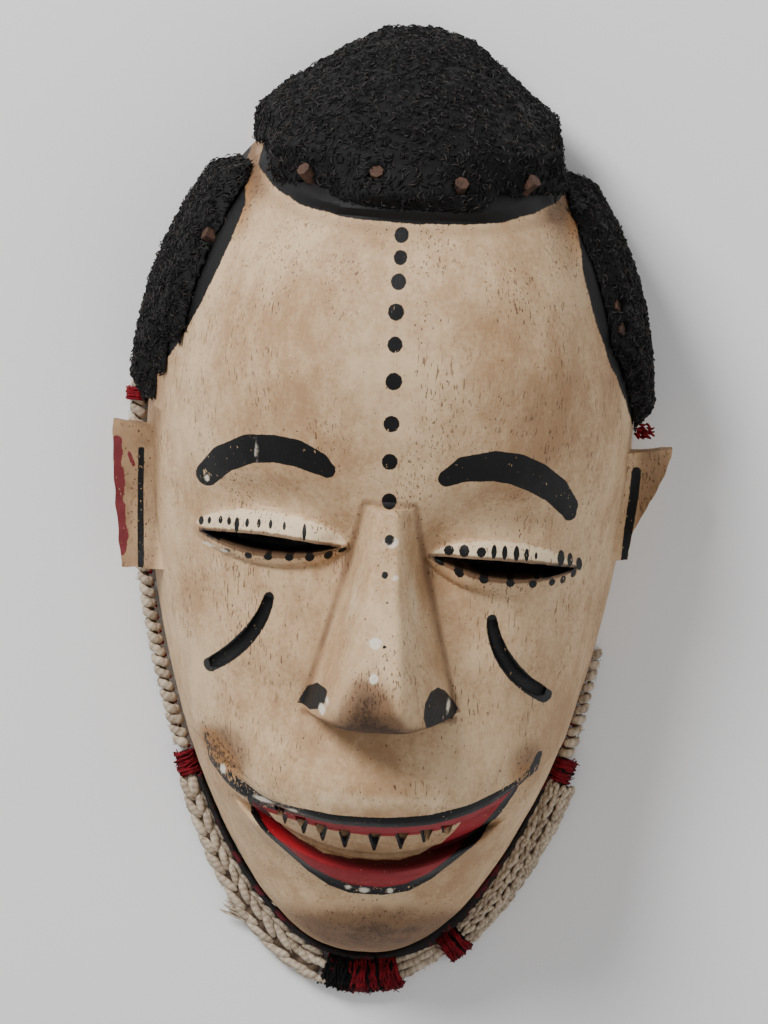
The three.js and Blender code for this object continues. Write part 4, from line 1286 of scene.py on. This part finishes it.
def rim_frame(length):
    """Points on the wood's edge at lengths from the chin, with the ways along and out."""
    x, y = np.interp(length, RIM_LENGTH, RIM_X), np.interp(length, RIM_LENGTH, RIM_Y)
    ahead, behind = length + 1.5, length - 1.5
    dx = np.interp(ahead, RIM_LENGTH, RIM_X) - np.interp(behind, RIM_LENGTH, RIM_X)
    dy = np.interp(ahead, RIM_LENGTH, RIM_Y) - np.interp(behind, RIM_LENGTH, RIM_Y)
    along = unit(np.stack([dx, dy, np.zeros_like(dx)], axis=-1))
    out = np.stack([along[..., 1], -along[..., 0], np.zeros_like(dx)], axis=-1)
    return np.stack([x, y, np.zeros_like(x)], axis=-1), along, out


TURN_START, TURN_SPAN = 0.98, 1.1             # half turns that a strip's stitches cover
UP = np.array([0, 0, 1.0])
ABOVE_FLOOR = 0.3                             # the trim doesn't reach lower


class Strip:
    """A band around the edge: distance out from the wood and height go from its start to its end."""

    foot = 0.35

    def __init__(self, start, end, near, far, top):
        self.start, self.end = start, end
        self.near, self.far, self.top = (v if isinstance(v, tuple) else (v, v) for v in (near, far, top))

    def place(self, length, turn, sink=0.0):
        """Points at a length along and a turn across: 0 by the wood, 0.5 on top, 1 on the outer side."""
        t = clamp((length - self.start) / (self.end - self.start))
        near, far, top = (mix(*v, t) for v in (self.near, self.far, self.top))
        at, along, out = rim_frame(length)
        half, tall = (far - near) / 2 - sink, (top - self.foot) / 2 - sink
        angle = np.pi * (TURN_START - TURN_SPAN * turn)
        across, up = np.cos(angle), np.sin(angle)
        across, up = np.sign(across) * np.abs(across) ** 0.8, np.sign(up) * np.abs(up) ** 0.8
        normal = unit(out * across[..., None] + UP * up[..., None])
        rise = UP * ((top + self.foot) / 2 + tall * up)[..., None]
        return at + out * ((near + far) / 2 + half * across)[..., None] + rise, normal, along


def core(name, strip, sink):
    """The inside of a strip, which shows between its stitches."""
    count = max(8, int((strip.end - strip.start) / 1.2))
    piece = mesh_from(tube(20, count), name)
    shape = points_of(piece)
    length = mix(strip.start, strip.end, 0.01 + 0.98 * shape[:, 2])
    turn = (np.arctan2(shape[:, 1], -shape[:, 0]) / np.pi) % 2.0
    turn = (TURN_START - 1 + turn) / TURN_SPAN
    at, normal, _ = strip.place(length, turn, sink)
    at += normal * (0.25 * grain_noise(at, 1.5, 4.4, 2))[:, None]
    at[:, 2] = np.maximum(at[:, 2], ABOVE_FLOOR)
    put_points(piece, at)
    attribute(piece, "shade", np.full(len(at), 0.5))
    attribute(piece, "along", length)
    attribute(piece, "around", turn)
    attribute(piece, "tint", np.zeros(len(at)))
    return piece


def lobes(name, rows, seed):
    """Plump loops of cord. Each is (strip, length along, turn across, long, wide, thick, slant, tint)."""
    rng = np.random.default_rng(seed)
    bm = bmesh.new()
    bmesh.ops.create_uvsphere(bm, u_segments=10, v_segments=9, radius=1)
    piece, shape = copies(name, bm, len(rows))
    points = []
    for strip, length, turn, long, wide, thick, slant, _ in rows:
        at, normal, along = strip.place(np.array(length), np.array(turn), thick * 0.35)
        side = np.cross(normal, along)
        slant += rng.normal(0, 0.07)
        way = along * math.cos(slant) + side * math.sin(slant)
        cross = np.cross(normal, way)
        z = shape[:, 2]
        body = 1 + 0.22 * z
        arch = 0.22 * thick * (0.5 - z * z)
        jitter = rng.normal(0, 0.16, 3)
        size = rng.uniform(0.92, 1.08)
        place = at + jitter + np.outer(z * long * size / 2, way)
        place += np.outer(shape[:, 0] * body * wide * size / 2, cross)
        place += np.outer(shape[:, 1] * body * thick * size / 2 + arch, normal)
        points.append(place)
    points = np.array(points)
    points[..., 2] = np.maximum(points[..., 2], ABOVE_FLOOR)
    put_points(piece, points)
    count = len(shape)
    attribute(piece, "shade", np.repeat(rng.uniform(0, 1, len(rows)), count))
    attribute(piece, "along", (np.array([r[3] for r in rows])[:, None] * shape[:, 2]).ravel())
    attribute(piece, "around", np.tile(np.arctan2(shape[:, 1], shape[:, 0]) / (2 * np.pi), len(rows)))
    attribute(piece, "tint", np.repeat([r[7] for r in rows], count))
    return piece


def strands(name, paths, thick, seed, tints=None):
    """Thin threads, one along each path of points."""
    rng = np.random.default_rng(seed)
    paths = np.array(paths)
    piece, shape = copies(name, tube(4, paths.shape[1] - 1), len(paths))
    step = np.round(shape[:, 2] * (paths.shape[1] - 1)).astype(int)
    ahead = unit(np.gradient(paths, axis=1))
    side = unit(np.cross(ahead, np.array([0.31, 0.22, 0.93])))
    up = np.cross(side, ahead)
    t = shape[:, 2]
    radius = thick / 2 * rng.uniform(0.75, 1.2, len(paths))[:, None] * (1 - 0.6 * np.abs(2 * t - 1) ** 4)
    points = paths[:, step] + side[:, step] * (radius * shape[:, 0])[..., None]
    points += up[:, step] * (radius * shape[:, 1])[..., None]
    points[..., 2] = np.maximum(points[..., 2], ABOVE_FLOOR)
    put_points(piece, points)
    attribute(piece, "shade", np.repeat(rng.uniform(0, 1, len(paths)), len(shape)))
    attribute(piece, "along", np.tile(t * 8, len(paths)))
    attribute(piece, "around", np.tile(np.arctan2(shape[:, 1], shape[:, 0]) / (2 * np.pi), len(paths)))
    attribute(piece, "tint", np.repeat(np.zeros(len(paths)) if tints is None else tints, len(shape)))
    return piece


def wraps(strip, count, rng, wild, lift):
    """Paths of threads wound over a strip; wild and lift are how far they stray sideways and out."""
    paths = []
    turn = np.linspace(-0.1, 1.02, 11)
    for _ in range(count):
        start = rng.uniform(strip.start, strip.end)
        end = np.clip(start + rng.normal(0, 1.6), strip.start, strip.end)
        at, normal, _ = strip.place(np.linspace(start, end, 11), turn, 0.2)
        lumps = np.stack([swirl_noise(at, 2.2, rng.uniform(0, 90)) for _ in range(3)], axis=-1)
        paths.append(at + normal * rng.uniform(0, lift + 0.3) + wild * lumps)
    return paths


def fuzz(strip, count, rng, long=3.0, reach=1.3):
    """Paths of short stray fibres that stand off a strip."""
    paths = []
    for _ in range(count):
        at, normal, along = strip.place(
            np.array(rng.uniform(strip.start, strip.end)), np.array(rng.uniform(0.1, 1.0)), 0.1,
        )
        way = unit(along * rng.normal(0, 1) + normal * rng.uniform(0.1, 0.9) + rng.normal(0, 0.4, 3))
        bend = unit(np.cross(way, normal)) * rng.normal(0, 0.5)
        t = np.linspace(0, 1, 6)[:, None]
        paths.append(at + way * t * long * rng.uniform(0.4, 1) * 0.5 + bend * t * t * reach)
    return paths


def wound_edge(strip, pitch, slant, red):
    """Lumps of cord wound over the edge, with bits of red between them by the wood."""
    rows = []
    for length in np.arange(strip.start + pitch / 2, strip.end, pitch):
        t = (length - strip.start) / (strip.end - strip.start)
        long = 2.6 + 0.4 * (mix(*strip.far, t) - mix(*strip.near, t))
        for turn in (0.28, 0.52, 0.8):
            place = length - slant * 4.4 * (turn - 0.5)
            rows.append((strip, place, turn, long, 0.78 * pitch, 2.0, 1.57 - slant, 0))
        if red(t):
            rows.append((strip, length + 0.5 * pitch, 0.12, 2.0, 1.5, 1.6, 1.2, 1))
    return rows


def chain(strip, turn, long, wide, pitch, slant, thick):
    """One column of V stitches: two plump legs side by side."""
    rows = []
    for length in np.arange(strip.start + pitch / 2, strip.end, pitch):
        apart = 0.062 * wide
        rows.append((strip, length, turn - apart, long, wide, thick, slant, 0))
        rows.append((strip, length + 0.1 * pitch, turn + apart, long, wide, thick, -slant, 0))
    return rows


LEFT_EDGE = Strip(rim_left(39), rim_left(-67), (0.6, 0.8), (4.3, 4.6), (4.0, 5.6))
LEFT_TIE = Strip(rim_left(-67.5), rim_left(-73.2), 0.6, 5.4, 5.6)
BRAID = Strip(rim_left(-73.6), rim_chin(-12.5), (1.6, 2.6), (6.6, 11.4), (5.6, 6.2))
CHIN_KNOT = Strip(rim_chin(-12.2), rim_chin(4.8), 1.4, 10.4, 6.2)
CHIN_CORDS = Strip(rim_chin(4.8), rim_chin(15.6), 2.2, (8.6, 7.4), 5.4)
CHIN_TIE = Strip(rim_chin(15.2), rim_chin(19.8), 2.4, 10.2, 6.2)
KNIT = Strip(rim_chin(20), rim_right(-69.5), (2.4, 0.9), (9.8, 9.0), (6.4, 6.8))
RIGHT_TIE = Strip(rim_right(-69.2), rim_right(-63.4), 0.7, 6.0, 6.0)
RIGHT_EDGE = Strip(rim_right(-63.0), rim_right(-33), (0.8, 0.5), (4.9, 2.3), (5.8, 3.6))


def yarn(name, undyed, dark, dyed, ply=3.4):
    """Plied yarn; tint turns it to the dyed colour."""
    s = Shader(name)
    shade, tint, along, around = (s.attribute(n) for n in ("shade", "tint", "along", "around"))
    plies = ((along / ply + around) * 6.2832).math("SINE") * 0.5 + 0.5
    lint = s.noise((0.22, 0.22, 0.22), 3, 0.65, seed=2.0)
    dust = s.noise(3.5, 4, 0.6, seed=5.0)
    # Painted shade: both blends darken where the ply wave is low, between the plies; lint, dust and shade add
    # random tone
    colour = s.blend(dark, undyed, (plies * 0.16 + lint * 0.5 + shade * 0.25 + dust * 0.45).ramp(0.3, 1.0))
    hollow = (lint * 0.7 + (1 - plies) * 0.3 + dust * 0.3).ramp(0.4, 0.9)
    colour = s.blend(colour, s.blend(dyed, tuple(v * 0.3 for v in dyed), hollow), tint)
    return s.finish(colour, 0.85, plies * 0.2 + lint * 0.8, 0.12, Specular_IOR_Level=0.2)


# Cotton, its darker tone, which also serves as painted shade between the plies, and the red of its dyed loops
UNDYED = rgb(212, 196, 174), rgb(120, 102, 84), rgb(112, 20, 32)


def stitches():
    """Name, strip, loops and CAD node of each piece of cotton."""
    braid = chain(BRAID, 0.16, 7.4, 2.2, 5.2, 0.2, 2.1) + chain(BRAID, 0.48, 7.6, 2.3, 5.5, -0.2, 2.2)
    braid += chain(BRAID, 0.8, 7.4, 2.2, 5.3, 0.2, 2.1)
    knit = []
    for i in range(7):
        knit += chain(KNIT, 0.06 + 0.145 * i, 5.0, 1.35, 3.5, 0.24, 1.5)
    cords = [
        (CHIN_CORDS, length, turn, 4.6, 1.9, 1.9, 0.25, 0)
        for turn in (0.2, 0.42, 0.64, 0.86) for length in np.arange(CHIN_CORDS.start, CHIN_CORDS.end, 1.7)
    ]
    left = wound_edge(LEFT_EDGE, 3.35, 0.62, lambda t: t > 0.38)
    right = wound_edge(RIGHT_EDGE, 3.2, -0.4, lambda t: t < 0.28)
    return [
        ("left_edge", LEFT_EDGE, left, "left_edge_binding"),
        ("right_edge", RIGHT_EDGE, right, "right_edge_binding"),
        ("left_braid", BRAID, braid, "left_braid"), ("right_knit", KNIT, knit, "right_knit"),
        ("chin_cord", CHIN_CORDS, cords, "chin_cords"),
    ]


def knitted_trim():
    rng = np.random.default_rng(31)
    cotton = yarn("undyed_cotton", *UNDYED)
    # A darker copy of the cotton for the cores: painted shade in the gaps between the stitches
    inner = yarn("shaded_cotton_inside", rgb(112, 94, 78), rgb(40, 30, 25), rgb(90, 20, 30))
    red = yarn("red_yarn", rgb(138, 24, 36), rgb(56, 9, 16), rgb(16, 14, 15), 1.2)
    for name, strip, rows, node in stitches():
        dress(core(name + "_core", strip, 0.9), inner, node)
        dress(lobes(name + "_stitches", rows, len(rows)), cotton)
        lint = fuzz(strip, int((strip.end - strip.start) * 1.6), rng)
        dress(strands(name + "_lint", lint, 0.16, 3), cotton)
    for name, strip, count, node in (
        ("left_tie", LEFT_TIE, 46, "left_red_tie"), ("chin_tie", CHIN_TIE, 46, "chin_red_tie"),
        ("right_tie", RIGHT_TIE, 46, "right_red_tie"), ("chin_knot", CHIN_KNOT, 190, "chin_yarn_knot"),
    ):
        is_knot = strip is CHIN_KNOT
        dress(core(name + "_core", strip, 0.5), red, node)
        paths = wraps(strip, count, rng, wild=1.1 if is_knot else 0.8, lift=0.6)
        dyed = rng.uniform(0, 1, count) < (0.18 if is_knot else 0.06)
        if is_knot:
            dyed |= np.array([path[:, 0].mean() < -6.5 and path[3, 1] > -132 for path in paths])
        dress(strands(name + "_threads", paths, 0.75, count, dyed.astype(float)), red)
        dress(strands(name + "_fluff", fuzz(strip, count, rng, 4.5, 1.6), 0.3, count), red)


def stray_yarn():
    """Red yarn left from the costume: a turn around the left edge and a tuft above the right ear."""
    rng = np.random.default_rng(67)
    red = yarn("stray_red_yarn", rgb(150, 26, 40), rgb(66, 10, 18), rgb(16, 14, 15), 1.2)
    paths = wraps(Strip(rim_left(33.4), rim_left(30.4), 0.2, 5.4, 5.2), 22, rng, wild=0.35, lift=0.4)
    tuft_foot, tuft_way = np.array([65.5, 31.0, 19.0]), np.array([2.4, -1.5, 1.6])
    t = np.linspace(0, 1, 11)[:, None]
    for _ in range(40):
        foot = tuft_foot + rng.normal(0, 0.8, 3)
        paths.append(foot + tuft_way * t * rng.uniform(0.3, 0.75) + rng.normal(0, 0.6, 3) * t * t)
    dress(strands("stray_yarn", paths, 0.7, 19), red)


def frayed_end():
    """The loose end of the braid, a bundle of unravelled strands that points down and out."""
    rng = np.random.default_rng(53)
    foot, tip = np.array([-30.2, -115.6, 3.0]), np.array([-43.2, -110.0, 2.6])
    ahead = unit(tip - foot)
    side = np.array([ahead[1], -ahead[0], 0.0])
    cotton = yarn("frayed_cotton", *UNDYED)
    paths = []
    t = np.linspace(0, 1, 9)[:, None]
    for _ in range(90):
        reach = rng.uniform(0.35, 1.0)
        sway, lift = rng.normal(0, 1.1), rng.uniform(-1.2, 1.2)
        start = foot + side * rng.normal(0, 2.0) + UP * rng.uniform(-1.0, 1.6)
        wave = 0.35 * np.sin(rng.uniform(0, 6) + t * 7)
        bend = side * (sway * t * t * 1.4 + wave) * (1 - 0.45 * t)
        paths.append(start + (tip - foot) * t * reach + bend + UP * lift * t)
    dress(strands("frayed_end", paths, 0.8, 11), cotton)


CLOTH_START, CLOTH_END = rim_left(-74), rim_right(-64.5)
CLOTH_NEAR, CLOTH_FAR, CLOTH_TALL = 0.45, 1.45, 5.2
CLOTH_BULGE, CLOTH_BULGE_WIDE = 2.6, 0.035 * (RIM_LENGTH[-1] - RIM_LENGTH[0])
CLOTH_THICK = 0.35


def cloth_band():
    """A strip of dark cloth folded double along its length, fold up, between the wood and the cords."""
    bm = bmesh.new()
    bmesh.ops.create_grid(bm, x_segments=18, y_segments=280, size=0.5)
    piece = mesh_from(bm, "dark_cloth")
    shape = points_of(piece) + 0.5
    length = mix(CLOTH_START, CLOTH_END, shape[:, 1])
    at, _, out = rim_frame(length)
    far = CLOTH_FAR + CLOTH_BULGE * bell((length - rim_chin(19)) / CLOTH_BULGE_WIDE)
    across = mix(CLOTH_NEAR, far, ramp(0.38, 0.62, shape[:, 0]))
    height = 0.5 + CLOTH_TALL * (1 - np.abs(2 * shape[:, 0] - 1) ** 1.4)
    points = at + out * across[:, None] + UP * height[:, None]
    creases = [grain_noise(points, (2.4, 2.4, 1.6), seed, 2) for seed in (1.1, 5.2, 9.3)]
    points += 0.16 * np.stack(creases, axis=-1)
    put_points(piece, points)
    wall = piece.modifiers.new("wall", "SOLIDIFY")
    wall.thickness = CLOTH_THICK
    wall.offset = 0
    apply_modifiers(piece)
    s = Shader("dark_cloth")
    weave = s.noise((0.35, 0.35, 0.35), 2, 0.6, seed=2.0)
    patch = s.noise(6, 3, 0.6, seed=11.0)
    colour = s.blend(rgb(14, 12, 13), rgb(44, 40, 40), weave.ramp(0.35, 0.8))
    colour = s.blend(colour, rgb(96, 18, 30), (patch + weave * 0.3).ramp(0.7, 0.76) * 0.8)
    dress(piece, s.finish(colour, 0.9, weave, 0.12), "dark_cloth_band")


# Photographer's side: camera, floor and light

CAMERA_TILT, CAMERA_TURN, CAMERA_ROLL = math.radians(8), math.radians(1.5), math.radians(3)
CAMERA_AIM = Vector((-0.55, 8.06, 50)) * MM
CAMERA_AWAY = 1.1
PHOTO_MM_PER_PIXEL = 0.267
PHOTO_HEIGHT = 1024
SENSOR = 36.0


def camera():
    """The photograph's view, which looks down on the face."""
    turn = Matrix.Rotation(CAMERA_TURN, 3, "Y")
    tilt = Matrix.Rotation(CAMERA_TILT, 3, "X")
    roll = Matrix.Rotation(-CAMERA_ROLL, 3, "Z")
    to_view = roll @ tilt @ turn.transposed()
    data = bpy.data.cameras.new("camera")
    data.sensor_fit = "VERTICAL"
    data.sensor_height = SENSOR
    data.sensor_width = SENSOR
    data.lens = SENSOR * CAMERA_AWAY / (PHOTO_HEIGHT * PHOTO_MM_PER_PIXEL * MM)
    seen = bpy.data.objects.new("camera", data)
    pose = to_view.transposed().to_4x4()
    pose.translation = CAMERA_AIM + to_view[2] * CAMERA_AWAY
    seen.matrix_world = pose
    bpy.context.scene.collection.objects.link(seen)
    bpy.context.scene.camera = seen


def floor():
    bm = bmesh.new()
    bmesh.ops.create_grid(bm, x_segments=1, y_segments=1, size=4)
    piece = mesh_from(bm, "floor")
    s = Shader("floor")
    piece.data.materials.append(s.finish((0.9, 0.9, 0.9, 1), 0.9))


def light(name, at, size, power):
    data = bpy.data.lights.new(name, "AREA")
    data.shape = "DISK"
    data.size = size
    data.energy = power
    lamp = bpy.data.objects.new(name, data)
    lamp.location = at
    lamp.rotation_euler = (-Vector(at)).to_track_quat("-Z", "Y").to_euler()
    bpy.context.scene.collection.objects.link(lamp)


def studio():
    """A white floor, a key light from the upper left and a weak one from the right."""
    floor()
    light("key", (-0.75, 0.95, 1.0), 0.55, 26)
    light("fill", (0.9, -0.2, 1.2), 1.4, 5)
    world = bpy.data.worlds.new("studio")
    world.use_nodes = True
    world.node_tree.nodes["Background"].inputs["Color"].default_value = (1, 1, 1, 1)
    world.node_tree.nodes["Background"].inputs["Strength"].default_value = 0.4
    bpy.context.scene.world = world


camera()
studio()
carved_wood()
hair()
peg_ends()
knitted_trim()
stray_yarn()
frayed_end()
cloth_band()
